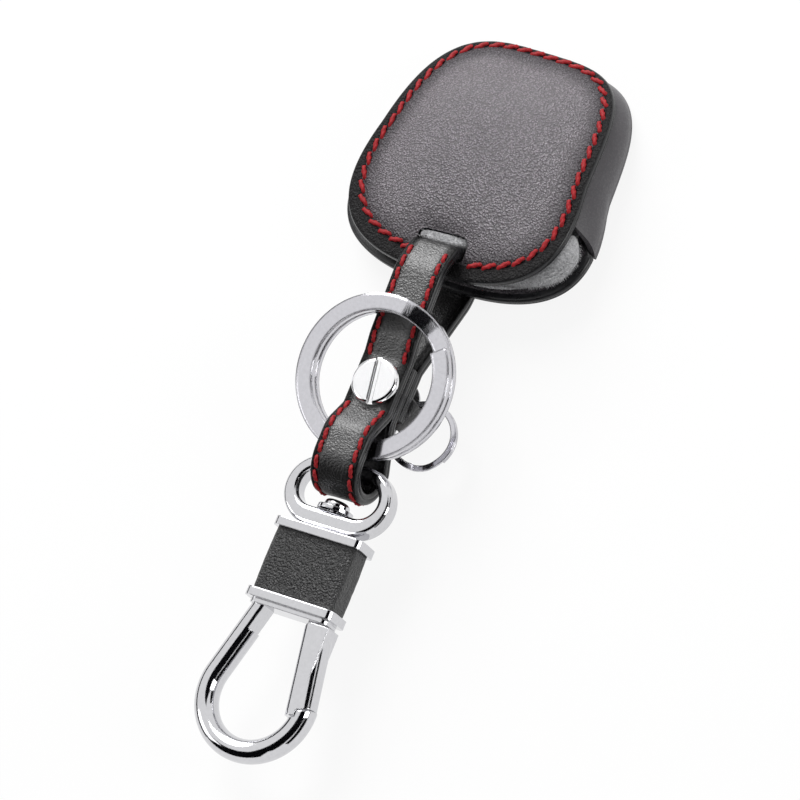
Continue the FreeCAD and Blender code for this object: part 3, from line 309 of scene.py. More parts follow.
def cut_post_hole(piece):
    """Round hole for the strap screw's post."""
    count = 40
    turns = [2 * math.pi * k / count for k in range(count)]
    hole = [(POST_HOLE * math.cos(turn), POST_HOLE * math.sin(turn)) for turn in turns]
    cut_out(piece, prism("hole", hole, 0.0, 30.0))


def lens(half_width, half_height, middle_y, power=3.0, count=48):
    """Rounded outline about a point of the Y axis."""
    points = []
    for i in range(count):
        angle = 2.0 * math.pi * i / count
        c = math.cos(angle)
        s = math.sin(angle)
        points.append((half_width * math.copysign(abs(c) ** (2.0 / power), c),
                       middle_y + half_height * math.copysign(abs(s) ** (2.0 / power), s)))
    return points


# Materials: every one is built from nodes on object coordinates, in metres.

class Shader:
    """Short helper for a node material round one Principled shader."""

    def __init__(self, name):
        self.material = bpy.data.materials.new(name)
        self.material.use_nodes = True
        self.tree = self.material.node_tree
        self.shader = self.tree.nodes["Principled BSDF"]
        self.place = self.tree.nodes.new("ShaderNodeTexCoord").outputs["Object"]

    def node(self, kind, inputs=None, **settings):
        item = self.tree.nodes.new(kind)
        for key, value in settings.items():
            setattr(item, key, value)
        for key, value in (inputs or {}).items():
            self.put(item.inputs[key], value)
        return item

    def put(self, socket, value):
        if isinstance(value, bpy.types.NodeSocket):
            self.tree.links.new(value, socket)
        else:
            socket.default_value = value

    def set(self, **values):
        for key, value in values.items():
            self.put(self.shader.inputs[key.replace("_", " ")], value)

    def noise(self, scale, detail=4.0, rough=0.5, place=None, distort=0.0):
        return self.node("ShaderNodeTexNoise", {
            "Vector": place or self.place, "Scale": scale, "Detail": detail,
            "Roughness": rough, "Distortion": distort}).outputs["Fac"]

    def cells(self, scale, place, smoothness):
        item = self.node("ShaderNodeTexVoronoi", feature="SMOOTH_F1")
        self.put(item.inputs["Vector"], place)
        item.inputs["Scale"].default_value = scale
        item.inputs["Smoothness"].default_value = smoothness
        return item.outputs["Distance"]

    def warp(self, scale, amount):
        """Object coordinates shaken by noise."""
        shake = self.node("ShaderNodeTexNoise", {"Vector": self.place, "Scale": scale, "Detail": 3.0})
        centred = self.node("ShaderNodeVectorMath", operation="SUBTRACT")
        self.put(centred.inputs[0], shake.outputs["Color"])
        centred.inputs[1].default_value = (0.5, 0.5, 0.5)
        scaled = self.node("ShaderNodeVectorMath", operation="SCALE")
        self.put(scaled.inputs[0], centred.outputs[0])
        scaled.inputs["Scale"].default_value = amount
        moved = self.node("ShaderNodeVectorMath", operation="ADD")
        self.put(moved.inputs[0], self.place)
        self.put(moved.inputs[1], scaled.outputs[0])
        return moved.outputs[0]

    def math(self, operation, a, b=0.0, clamp=False):
        item = self.node("ShaderNodeMath", operation=operation, use_clamp=clamp)
        self.put(item.inputs[0], a)
        self.put(item.inputs[1], b)
        return item.outputs[0]

    def ramp(self, value, low, high, start=0.0, end=1.0):
        item = self.node("ShaderNodeMapRange", {
            "Value": value, "From Min": low, "From Max": high, "To Min": start, "To Max": end})
        return item.outputs["Result"]

    def blend(self, share, first, second):
        item = self.node("ShaderNodeMix", data_type="RGBA")
        self.put(item.inputs[0], share)
        self.put(item.inputs[6], first)
        self.put(item.inputs[7], second)
        return item.outputs[2]

    def bump(self, height, depth, strength=1.0, under=None):
        item = self.node("ShaderNodeBump", {"Height": height, "Distance": depth, "Strength": strength})
        if under:
            self.put(item.inputs["Normal"], under)
        return item.outputs["Normal"]


def leather(name, dark, light, grain, depth, rough, shine, crease=0.0, painted_shade=0.0):
    """Grained leather: rounded pebbles between fine valleys, with broad creases; painted shade and light make
    its colour darker in the valleys and lighter on the pebble tops.

    Painted shade darkens it and dulls its sheen where the mesh's painted shade share says so."""
    s = Shader(name)
    warped = s.warp(900.0, 0.0003)
    pebble = s.cells(grain, warped, 0.35)
    fine = s.cells(grain * 2.3, warped, 0.3)
    height = s.math("ADD", s.ramp(pebble, 0.0, 0.75, 1.0, 0.0), s.ramp(fine, 0.0, 0.7, 0.35, 0.0))
    broad = s.noise(190.0, 5.0, 0.6)
    normal = s.bump(height, depth, 0.9)
    if crease:
        folds = s.noise(420.0, 6.0, 0.62, distort=1.6)
        normal = s.bump(folds, crease, 0.8, normal)
    # Painted shade and light: the colour darkens in the grain's valleys and lightens on the pebble tops.
    top = s.ramp(height, 0.35, 1.15)
    tone = s.math("MULTIPLY", top, s.ramp(broad, 0.3, 0.7, 0.6, 1.0), True)
    # Painted shade: the mesh's share darkens the colour towards a near black and dims the sheen.
    shade_share = s.node("ShaderNodeAttribute", attribute_name="painted_shade").outputs["Fac"]
    unshaded = s.ramp(shade_share, 0.0, 1.0, 1.0, 1.0 - painted_shade)
    shade_colour = tuple(c * 0.25 for c in dark[:3]) + (1,)
    s.set(Base_Color=s.blend(unshaded, shade_colour, s.blend(tone, dark, light)), Normal=normal,
          Roughness=s.ramp(s.math("ADD", height, broad), 0.5, 1.8, rough + 0.1, rough - 0.04),
          Specular_IOR_Level=s.math("MULTIPLY", unshaded, shine))
    return s.material


def edge_paint(name):
    """Black painted edge: smooth, with faint brush waves."""
    s = Shader(name)
    wave = s.noise(700.0, 3.0, 0.5)
    s.set(Base_Color=s.blend(s.ramp(wave, 0.3, 0.7), (0.006, 0.006, 0.007, 1), (0.014, 0.014, 0.016, 1)),
          Roughness=s.ramp(wave, 0.3, 0.7, 0.24, 0.34), Normal=s.bump(wave, 0.00004, 0.6),
          Specular_IOR_Level=0.45)
    return s.material


def thread(name):
    """Waxed red thread: two plies, darker between the fibres."""
    s = Shader(name)
    fibre = s.noise(5200.0, 3.0, 0.6)
    broad = s.noise(420.0, 2.0, 0.5)
    tone = s.math("MULTIPLY", s.ramp(fibre, 0.25, 0.75), s.ramp(broad, 0.3, 0.7, 0.7, 1.0), True)
    s.set(Base_Color=s.blend(tone, (0.14, 0.003, 0.005, 1), (0.56, 0.013, 0.02, 1)), Roughness=0.6,
          Normal=s.bump(fibre, 0.00006, 0.7), Specular_IOR_Level=0.3)
    return s.material


def plush(name):
    """Short grey pile: soft, mottled and matt."""
    s = Shader(name)
    fibre = s.noise(2600.0, 4.0, 0.65)
    patch = s.noise(260.0, 4.0, 0.55)
    tone = s.math("ADD", s.ramp(fibre, 0.36, 0.64, 0.0, 0.65), s.ramp(patch, 0.3, 0.7, 0.0, 0.35), True)
    s.set(Base_Color=s.blend(tone, (0.28, 0.28, 0.29, 1), (0.95, 0.95, 0.97, 1)), Roughness=0.95,
          Normal=s.bump(fibre, 0.0006, 1.0), Sheen_Weight=0.4, Sheen_Roughness=0.4)
    return s.material


def metal(name, colour, rough, soft, streak=0.0):
    """Plated metal: edges worn round, a very slight ripple from polishing, and fine wear."""
    s = Shader(name)
    ripple = s.noise(160.0, 2.0, 0.4)
    wear = s.noise(1500.0, 5.0, 0.6)
    edge = s.node("ShaderNodeBevel")
    edge.samples = 6
    edge.inputs["Radius"].default_value = soft * MM
    normal = s.bump(ripple, 0.00012, 0.35, edge.outputs["Normal"])
    if streak:
        lines = s.node("ShaderNodeMapping")
        s.put(lines.inputs["Vector"], s.place)
        lines.inputs["Scale"].default_value = (1.0, 0.06, 1.0)
        normal = s.bump(s.noise(4200.0, 3.0, 0.6, lines.outputs[0]), streak, 0.4, normal)
    darker = tuple(c * 0.93 for c in colour[:3]) + (1,)
    s.set(Base_Color=s.blend(s.ramp(wear, 0.35, 0.7), colour, darker), Metallic=1.0,
          Roughness=s.ramp(wear, 0.3, 0.75, rough, rough + 0.05), Normal=normal)
    return s.material


# Painted sheen: this colour is far lighter than the black leather's own, standing in for the broad soft
# highlight on the face.
PEBBLED = leather(
    "pebbled_leather", (0.1, 0.089, 0.1, 1), (0.47, 0.42, 0.47, 1),
    grain=2500.0, depth=0.00036, rough=0.36, shine=1.0, painted_shade=0.8)
MARGIN_LEATHER = leather(
    "margin_leather", (0.006, 0.0055, 0.006, 1), (0.014, 0.013, 0.014, 1),
    grain=2400.0, depth=0.0002, rough=0.5, shine=0.18)
STRAP_LEATHER = leather(
    "strap_leather", (0.006, 0.0055, 0.006, 1), (0.016, 0.015, 0.0165, 1),
    grain=2400.0, depth=0.00008, rough=0.34, shine=1.0, crease=0.00006, painted_shade=0.85)
WRAP_LEATHER = leather(
    "wrap_leather", (0.004, 0.004, 0.0045, 1), (0.017, 0.016, 0.0175, 1),
    grain=2300.0, depth=0.0004, rough=0.36, shine=0.8, crease=0.0002)
# Painted reflection: the grey colour stands for the white floor mirrored in the black band.
BAND_LEATHER = leather(
    "band_leather", (0.07, 0.066, 0.072, 1), (0.1, 0.095, 0.102, 1),
    grain=2400.0, depth=0.00003, rough=0.36, shine=0.5)
EDGE_PAINT = edge_paint("edge_paint")
THREAD = thread("red_thread")
PLUSH = plush("grey_plush")
CHROME = metal("chrome", (0.64, 0.64, 0.66, 1), rough=0.05, soft=0.3)
BRIGHT_CHROME = metal("bright_chrome", (0.92, 0.92, 0.93, 1), rough=0.07, soft=0.25)
RING_STEEL = metal("ring_steel", (0.62, 0.615, 0.65, 1), rough=0.1, soft=0.9, streak=0.00002)
SMALL_STEEL = metal("small_steel", (0.62, 0.615, 0.65, 1), rough=0.1, soft=0.45)
SPRING_STEEL = metal("spring_steel", (0.55, 0.55, 0.56, 1), rough=0.25, soft=0.05)


# The two puffed panels.

TOP_INSETS = [20.5, 18.5, 16.5, 14.5, 12.7, 11.2, 9.9, 8.8, 7.9, 7.1, 6.4, 5.8, 5.3, 4.85, 4.45, 4.1, 3.8]
TOP_INSETS += [3.55]
TOP_INSETS += [3.4 - 0.14 * k for k in range(19)]
TOP_INSETS += [0.75, 0.62, 0.5, 0.38, 0.27, 0.17, 0.09, 0.03]
RIM = [(0.0, 0.42), (-0.07, 0.62), (-0.08, 0.8), (-0.02, 0.9), (0.1, 0.95), (-0.02, 1.0), (-0.08, 1.1),
       (-0.07, 1.35), (0.0, 1.58), (0.12, 1.75), (0.3, 1.86), (0.6, 1.9)]
UNDER_INSETS = [1.4, 2.8, 4.6, 7.0, 10.0, 13.0, 16.5, 20.5]
AROUND = 320
FACE, PAINTED, MARGIN_FACE = 0, 1, 2
SHADED_RIM = 4.7


def edge_fall(inset):
    """How far the rounded edge drops below the face at a distance from the edge."""
    width = 0.75
    if inset >= width:
        return 0.0
    return 0.42 * (1.0 - math.sqrt(max(0.0, 1.0 - (1.0 - inset / width) ** 2)))


def seam_dent(off, along, stitches):
    """The thread pulls the leather down along the seam, deepest at the holes."""
    groove = -0.28 * math.exp(-(off / 0.45) ** 2)
    pucker = 0.12 * math.cos(2.0 * math.pi * along * stitches) * math.exp(-(off / 1.1) ** 2)
    swell = 0.12 * math.exp(-((off - 1.25) / 0.6) ** 2)
    return groove + pucker + swell


def soft_waves(x, y, seed):
    """Low unevenness of the padded face."""
    low = noise.noise(Vector((x * 0.11, y * 0.11, seed)))
    mid = noise.noise(Vector((x * 0.32, y * 0.32, seed + 5.0)))
    return 0.16 * low + 0.04 * mid


def slot_creases(x, y):
    """Fine folds that fan out from the strap slot."""
    dy = y - SLOT_HIGH
    if dy < 0.0:
        return 0.0
    away = math.hypot(x * 0.7, dy)
    fan = math.atan2(x, dy + 2.5)
    return 0.09 * math.exp(-((away - 2.0) / 3.5) ** 2) * math.cos(9.0 * fan + 0.8 * math.sin(3.0 * fan))


def slot_dip(x, y):
    """The face sinks towards the slot, where the strap pulls it in."""
    return -0.75 * math.exp(-(x / 7.0) ** 2 - ((y - SLOT_HIGH + 1.0) / 3.4) ** 2)


def slot_cutter(half, low, high, power):
    """Upright cutter for the strap slot, its walls painted."""
    cutter = prism("slot", lens(half, (high - low) / 2.0, (high + low) / 2.0, power), -5.0, 30.0)
    for material in (PEBBLED, EDGE_PAINT):
        cutter.data.materials.append(material)
    for face in cutter.data.polygons:
        face.material_index = PAINTED
    return cutter


def build_panel(name, outline_at, outer, sign, seed, creases, seam, trim):
    """One padded panel: its crowned face, rounded double edge and inner face, with the strap slot.

    The trim draws its edge in behind the side band."""
    angles, length = even_angles(seam, AROUND)
    stitches = round(length / PITCH)
    edge = outline_at()
    cuts = [trim * smooth((edge.point(angle).y - BAND_END_Y + 0.3) / 0.6) for angle in angles]
    rings = []
    kinds = []

    def ring_at(inset):
        return [outline_at(-inset - cut).point(angle) for angle, cut in zip(angles, cuts)]

    for inset in TOP_INSETS:
        ring = []
        kind = []
        for i, p in enumerate(ring_at(inset)):
            off = seam.depth(p.x, p.y)
            lift = seam_dent(off, i / AROUND, stitches) - edge_fall(inset)
            inner = smooth((off - 0.6) / 4.0)
            lift += inner * soft_waves(p.x, p.y, seed)
            if creases:
                lift += inner * slot_creases(p.x, p.y) + slot_dip(p.x, p.y)
            ring.append(Vector((p.x, p.y, outer(p.x, p.y) + sign * lift)))
            kind.append(PAINTED if inset < 0.2 else MARGIN_FACE if off < -0.1 else FACE)
        rings.append(ring)
        kinds += kind
    for outset, depth in RIM:
        rings.append([Vector((p.x, p.y, outer(p.x, p.y) - sign * depth)) for p in ring_at(outset)])
        kinds += [PAINTED] * AROUND
    for inset in UNDER_INSETS:
        rings.append([Vector((p.x, p.y, outer(p.x, p.y) - sign * PANEL)) for p in ring_at(inset)])
        kinds += [FACE] * AROUND
    piece = ringed(name, rings)
    for material in (PEBBLED, EDGE_PAINT, MARGIN_LEATHER):
        piece.data.materials.append(material)
    for face, kind in zip(piece.data.polygons, kinds[:AROUND * (len(rings) - 1)]):
        face.material_index = kind
    turn_case(piece)
    cut_out(piece, slot_cutter(SLOT_HALF, SLOT_LOW, SLOT_HIGH, 5.0))

    # Painted shade: the leather darkens towards the seam all round and in the dip above the slot.
    def shade_share(p):
        q = turned(p, -CASE_ANGLE)
        rim = 1.0 - smooth(seam.depth(q.x, q.y) / SHADED_RIM)
        slot_shade = math.exp(-(q.x / 7.0) ** 2 - ((q.y - SLOT_HIGH) / 2.4) ** 2)
        return min(1.0, 0.85 * rim + 0.6 * slot_shade)

    painted_shade(piece, shade_share)
    return piece


front = build_panel("front_panel_leather", front_outline, front_top, 1.0, 1.0, True, FRONT_SEAM, 0.0)
dress(front, None, "cover", ["front_panel"], 50.0)
back = build_panel("back_panel_leather", back_outline, back_bottom, -1.0, 9.0, False, BACK_SEAM_LINE, 1.35)
dress(back, None, "cover", ["back_panel"], 50.0)


# Stitches: twisted two-ply thread, each stitch a short arched length with its ends in the leather.

def add_stitch(points, faces, place, along, up, length=2.35, width=0.78, height=0.5, lean=0.0):
    stations = 11
    around = 10
    across = up.cross(along).normalized()
    heading = (along + across * lean).normalized()
    across = up.cross(heading).normalized()
    first = len(points)
    for k in range(stations):
        u = -1.0 + 2.0 * k / (stations - 1)
        taper = math.sqrt(max(0.05, 1.0 - abs(u) ** 5))
        arch = height * (0.42 - 0.75 * abs(u) ** 3.2)
        for a in range(around):
            turn = 2.0 * math.pi * a / around
            ply = 1.0 + 0.2 * math.cos(2.0 * turn - 8.0 * u)
            side = math.cos(turn) * width * 0.5 * taper * ply
            lift = math.sin(turn) * height * 0.55 * taper * ply + arch
            points.append(place + heading * (u * length / 2.0) + across * side + up * lift)
    for k in range(stations - 1):
        for a in range(around):
            b = (a + 1) % around
            faces.append((first + k * around + a, first + k * around + b,
                          first + (k + 1) * around + b, first + (k + 1) * around + a))
    faces.append(tuple(first + a for a in range(around)))
    faces.append(tuple(first + (stations - 1) * around + a for a in range(around)))


def panel_seam(name, outline, outer, sign, node):
    """Slanted stitches all round a panel, left out where the strap passes."""
    length = even_angles(outline, 8)[1]
    angles = even_angles(outline, round(length / PITCH))[0]
    points = []
    faces = []
    for angle in angles:
        spot = outline.point(angle)
        here = turned(spot)
        if abs(here.x) < STRAP_WIDTH / 2.0 + 1.3 and here.y < CASE_Y:
            continue
        ahead = outline.point(angle + 0.01)
        spot.z = outer(spot.x, spot.y) - sign * 0.16
        ahead.z = outer(ahead.x, ahead.y) - sign * 0.16
        along = (ahead - spot).normalized()
        across = Vector((0, 0, 1)).cross(along).normalized()
        up = along.cross(across).normalized() * sign
        add_stitch(points, faces, spot, along, up, 3.35 + random.uniform(-0.12, 0.12), 0.88, 0.56,
                   0.36 * sign + random.uniform(-0.06, 0.06))
    piece = turn_case(make_object(name, points, faces))
    return dress(piece, THREAD, "cover", [node], 60.0)


panel_seam("front_seam_thread", FRONT_SEAM, front_top, 1.0, "front_stitching")
panel_seam("back_seam_thread", BACK_SEAM_LINE, back_bottom, -1.0, "back_stitching")


# Side band and the plush linings.

def start_angle(outline, end_y):
    low = math.radians(-60.0)
    high = math.radians(60.0)
    for _ in range(40):
        middle = 0.5 * (low + high)
        if outline.point(middle).y < end_y:
            low = middle
        else:
            high = middle
    return low


def wall_grid(side, end_y, low, high, columns, rows):
    """Side wall from one free end round the closed end to the other, from the back panel up."""
    top = front_outline(side - 0.7)
    foot_line = back_outline(side)
    starts = (start_angle(foot_line, end_y), start_angle(top, end_y + BAND_RAKE))
    grid = []
    for i in range(columns):
        share = i / (columns - 1.0)
        foot = foot_line.point(starts[0] + (math.pi - 2.0 * starts[0]) * share)
        head = top.point(starts[1] + (math.pi - 2.0 * starts[1]) * share)
        foot.z = back_bottom(foot.x, foot.y)
        head.z = front_top(head.x, head.y) - PANEL
        height = head.z - foot.z
        swell = Vector((BAND_BULGE * foot.x / foot_line.half_width, 0.0, 0.0))
        column = []
        for j in range(rows):
            up = (low + (height - low - high) * j / (rows - 1.0)) / height
            column.append(foot + (head - foot) * up + swell * math.sin(math.pi * max(0.0, up)))
        grid.append(column)
    return grid


def wall_piece(name, outer, inner):
    """Closed band between two grids."""
    columns = len(outer)
    rows = len(outer[0])
    points = [p for column in outer for p in column] + [p for column in inner for p in column]
    shift = columns * rows
    faces = []
    for i in range(columns - 1):
        for j in range(rows - 1):
            a = i * rows + j
            faces.append((a, a + 1, a + rows + 1, a + rows))
            faces.append((shift + a, shift + a + rows, shift + a + rows + 1, shift + a + 1))
        for j in (0, rows - 1):
            a = i * rows + j
            faces.append((a, a + rows, shift + a + rows, shift + a))
    for i in (0, columns - 1):
        for j in range(rows - 1):
            a = i * rows + j
            faces.append((a, a + 1, shift + a + 1, shift + a))
    return make_object(name, points, faces)


band = wall_piece("side_band_leather", wall_grid(0.0, BAND_END_Y, -BAND_HEM, 0.1, 170, 15),
                  wall_grid(-BAND_WALL, BAND_END_Y, -BAND_HEM, 0.1, 170, 15))
dress(turn_case(band), BAND_LEATHER, "cover", ["side_band"], 45.0)


FIBRE_RADIUS = 0.055


def add_strand(points, faces, root, tip, radius):
    """One pile fibre: a thin three-sided spike."""
    along = (tip - root).normalized()
    side = along.cross(Vector((0.3, 0.5, 0.8))).normalized()
    other = along.cross(side)
    first = len(points)
    for turn in (0.0, 2.1, 4.2):
        points.append(root + (side * math.cos(turn) + other * math.sin(turn)) * radius)
    points.append(tip)
    for k in range(3):
        faces.append((first + k, first + (k + 1) % 3, first + 3))


def pile(name, spots, lean, length):
    """Fibres standing out at (root, direction) spots, as one plush piece that isn't dressed yet."""
    points = []
    faces = []
    for root, up in spots:
        jitter = Vector((random.uniform(-1, 1), random.uniform(-1, 1), random.uniform(-1, 1))) * 0.45
        heading = (up + lean + jitter).normalized()
        reach = length * random.uniform(0.6, 1.25)
        add_strand(points, faces, root, root + heading * reach, FIBRE_RADIUS)
    return make_object(name, points, faces)


def lining_piece(name, outline_at, low, high, node, fibre_spots):
    """Plush sheet between two heights, its pile standing out of the face towards the pocket."""
    rings = []
    angles = even_angles(outline_at(), 160)[0]
    insets = [16.0, 13.0, 10.0, 7.6, 5.8, 4.4, 3.2, 2.2, 1.3, 0.6, 0.2]
    for inset in insets:
        ring = [outline_at(-inset).point(a) for a in angles]
        rings.append([Vector((p.x, p.y, high(p.x, p.y))) for p in ring])
    for depth in (0.2, 0.8):
        ring = [outline_at().point(a) for a in angles]
        rings.append([Vector((p.x, p.y, high(p.x, p.y) * (1 - depth) + low(p.x, p.y) * depth)) for p in ring])
    for inset in reversed(insets):
        ring = [outline_at(-inset).point(a) for a in angles]
        rings.append([Vector((p.x, p.y, low(p.x, p.y))) for p in ring])
    piece = turn_case(ringed(name, rings))
    notch = [(-6.2, 21.0), (6.2, 21.0), (6.2, SLOT_HIGH + LINING), (-6.2, SLOT_HIGH + LINING)]
    cut_out(piece, prism("notch", notch, -5.0, 30.0))
    dress(piece, PLUSH, "cover", [node], 50.0)
    fur = turn_case(pile(name + "_pile", fibre_spots, Vector((0.0, -0.5, 0.0)), 1.0))
    dress(fur, PLUSH, "cover", (), 180.0)
    return piece


def scatter(count, outline, y_low, y_high, height, up):
    """Random spots on a lining between two Y values, clear of the slot."""
    spots = []
    while len(spots) < count:
        x = random.uniform(-23.0, 23.0)
        y = random.uniform(y_low, y_high)
        here = turned(Vector((x, y, 0.0)))
        if outline.reach(x, y) > 0.99 or (abs(here.x) < 6.5 and here.y < SLOT_HIGH + 1.2):
            continue
        spots.append((Vector((x, y, height(x, y))), up))
    return spots


def back_foot(x, y):
    return back_bottom(x, y) + PANEL + LINING_GAP


def back_pile(x, y):
    return back_foot(x, y) + LINING


def front_foot(x, y):
    return front_top(x, y) - PANEL - LINING_GAP


def front_pile(x, y):
    return front_foot(x, y) - LINING


band_fur = wall_piece("band_lining_plush",
                      wall_grid(-BAND_WALL - 0.25, BAND_END_Y + 1.5, PANEL + 0.3, 0.3, 110, 7),
                      wall_grid(-BAND_WALL - 0.25 - LINING, BAND_END_Y + 1.5, PANEL + 0.3, 0.3, 110, 7))
dress(turn_case(band_fur), PLUSH, "cover", ["band_lining"], 50.0)
back_spots = scatter(2600, back_lining_outline(), 25.5, 44.0, back_pile, Vector((0, 0, 1)))
lining_piece("back_lining_plush", back_lining_outline, back_foot, back_pile, "back_lining", back_spots)
front_spots = scatter(1800, front_lining_outline(), 28.4, 44.0, front_pile, Vector((0, 0, -1)))
lining_piece("front_lining_plush", front_lining_outline, front_pile, front_foot, "front_lining", front_spots)


def mouth_roll(name, start, end, spread):
    """The lining's pile swelling up at the mouth, fuller towards the band's free end."""
    sections = 70
    around = 20
    rings = []
    spots = []
    for k in range(sections + 1):
        share = k / sections
        full = spread * smooth((share - 0.1) / 0.7)
        p = back_lining_outline(-2.1 + 2.6 * full).point(math.radians(start + (end - start) * share))
        side = (p - Vector((0.0, CASE_Y, 0.0))).normalized()
        taper = min(1.0, share / 0.25, (1.0 - share) / 0.12) ** 0.5 if 0 < k < sections else 0.05
        half_wide = (1.9 + 0.6 * full) * taper
        half_high = (1.3 + 1.6 * full) * taper
        middle = back_bottom(p.x, p.y) + PANEL + 1.2 + 1.7 * full
        ring = []
        for a in range(around):
            turn = 2.0 * math.pi * a / around
            rise = Vector((0.0, 0.0, middle + math.sin(turn) * half_high))
            ring.append(p + side * (math.cos(turn) * half_wide) + rise)
            if -0.6 < math.sin(turn) and 2 < k < sections - 2:
                up = side * math.cos(turn) + Vector((0.0, 0.0, math.sin(turn)))
                for _ in range(4):
                    shake = Vector((random.uniform(-0.4, 0.4), random.uniform(-0.4, 0.4), 0.0))
                    spots.append((ring[-1] + shake - up * 0.2, up))
        rings.append(ring)
    dress(turn_case(ringed(name, rings)), PLUSH, "cover", (), 60.0)
    fur = turn_case(pile(name + "_pile", spots, Vector((0.0, -0.2, 0.0)), 0.6))
    dress(fur, PLUSH, "cover", (), 180.0)


mouth_roll("mouth_plush_right", -76.0, -14.0, 1.0)
mouth_roll("mouth_plush_left", -104.0, -157.0, 0.3)


def slot_plush():
    """The front lining's pile showing in the slot behind the strap."""
    rings = []
    spots = []
    layers = ((5.2, 1.0, 9.2), (5.2, 1.04, 11.9), (5.0, 1.0, 12.4), (4.5, 0.85, 12.7), (3.0, 0.5, 12.8))
    for half_x, half_y, z in layers:
        rings.append([Vector((x, y, z)) for x, y in lens(half_x, half_y, 31.15, 3.0, 60)])
    for _ in range(420):
        x = random.uniform(-5.0, 5.0)
        y = random.uniform(30.3, 32.0)
        spots.append((Vector((x, y, 12.5)), Vector((0, 0, 1))))
    dress(ringed("slot_plush", rings), PLUSH, "cover", (), 60.0)
    fur = pile("slot_plush_pile", spots, Vector((0.0, 0.0, 0.0)), 0.7)
    dress(fur, PLUSH, "cover", (), 180.0)


slot_plush()


# The strap: one strip along its route, with rounded painted edges and two sewn rows.

CLAMP = HEAD / 2.0 + 0.75
FLAT_Z = 1.5
STACK_Z = 12.2
LAYER = STRAP + 0.15
LOOP_Z = 12.5
LOOP = 5.85
LOOP_END_Y = -21.05
LIP = FRONT_Z + 1.4
ROUTE = [
    (-CLAMP + 0.8, STACK_Z - LAYER, 0.0),
    (CLAMP, STACK_Z - LAYER, 3.0),
    (MOUTH_Y - 1.0, FLAT_Z, 8.0),
    (SLOT_Y, FLAT_Z, 1.85),
    (SLOT_Y, LIP, 1.85),
    (MOUTH_Y - 0.3, LIP + 2.6, 8.0),
    (CLAMP + 3.6, STACK_Z + LAYER + 0.95, 8.0),
    (CLAMP, STACK_Z + LAYER, 4.0),
    (-CLAMP, STACK_Z + LAYER, 2.0),
    (-CLAMP - 5.0, LOOP_Z + LOOP, 4.0),
    (LOOP_END_Y, LOOP_Z + LOOP, LOOP - 0.05),
    (LOOP_END_Y, LOOP_Z - LOOP, LOOP - 0.05),
    (LOOP_END_Y + LOOP + 0.5, LOOP_Z - LOOP, 1.6),
    (-CLAMP - 0.8, STACK_Z, 4.0),
    (CLAMP - 0.4, STACK_Z, 0.0),
]


def strip_line(step):
    """Points and headings along the strap's middle line, about a step apart."""
    corners = [Vector((0.0, y, z)) for y, z, _ in ROUTE]
    legs = [(b - a).normalized() for a, b in zip(corners, corners[1:])]
    line = []

    def run(a, b, heading):
        parts = max(1, int((b - a).length / step))
        for k in range(parts):
            line.append((a + (b - a) * (k / parts), heading))

    last = corners[0]
    for i in range(1, len(corners) - 1):
        before = legs[i - 1]
        after = legs[i]
        turn = before.angle(after)
        radius = ROUTE[i][2]
        reach = radius * math.tan(turn / 2.0)
        start = corners[i] - before * reach
        run(last, start, before)
        inward = (after - before).normalized()
        centre = corners[i] + inward * (radius / math.cos(turn / 2.0))
        axis = before.cross(after).normalized()
        parts = max(3, int(radius * turn / (0.6 * step)))
        for k in range(parts):
            spin = Matrix.Rotation(turn * k / parts, 3, axis)
            line.append((centre + spin @ (start - centre), spin @ before))
        last = corners[i] + after * reach
    run(last, corners[-1], legs[-1])
    line.append((corners[-1], legs[-1]))
    return line


def strap_section():
    """Profile round the strip as (across, out of its middle) pairs, with a groove under each seam."""
    half = STRAP_WIDTH / 2.0
    face = []
    for k in range(41):
        x = -half + 0.5 + (STRAP_WIDTH - 1.0) * k / 40.0
        dent = 0.16 * math.exp(-((abs(x) - STRAP_SEAM) / 0.38) ** 2)
        swell = 0.05 * math.exp(-((abs(x) - STRAP_SEAM + 1.3) / 0.7) ** 2)
        face.append((x, HALF_STRAP - dent + swell))
    edge = [(half - 0.28, 1.08), (half - 0.1, 0.88), (half, 0.55), (half, 0.25), (half - 0.07, 0.08),
            (half - 0.14, 0.0), (half - 0.07, -0.08), (half, -0.25), (half, -0.55), (half - 0.1, -0.88),
            (half - 0.28, -1.08)]
    return face + edge + [(-x, -n) for x, n in face] + [(-x, -n) for x, n in edge]


def strap_shade(p):
    """Painted shade: the strap darkens along both edges and round its bend in the eye."""
    return max(smooth((abs(p.x) - 2.3) / 1.9), 0.85 * smooth((-15.0 - p.y) / 5.0))


def build_strap():
    """The strip itself, a little thinner than its solid and slightly wavy."""
    section = strap_section()
    rings = []
    for spot, heading in strip_line(0.8):
        left = Vector((0.0, -heading.z, heading.y))
        wave = 0.05 * noise.noise(Vector((spot.y * 0.25, spot.z * 0.25, 3.0)))
        ring = []
        for x, n in section:
            ring.append(spot + Vector((x, 0.0, 0.0)) + left * (n * (1.0 - 0.02) + wave * 0.3))
        rings.append(ring)
    piece = ringed("strap_leather", rings)
    cut_post_hole(piece)
    painted_shade(piece, strap_shade)
    dress(piece, STRAP_LEATHER, "cover", ["strap"], 50.0)
    piece.data.materials.append(EDGE_PAINT)
    for face in piece.data.polygons:
        if abs(face.normal.x) > 0.6 and abs(face.center.x) > 4.6 * MM:
            face.material_index = PAINTED


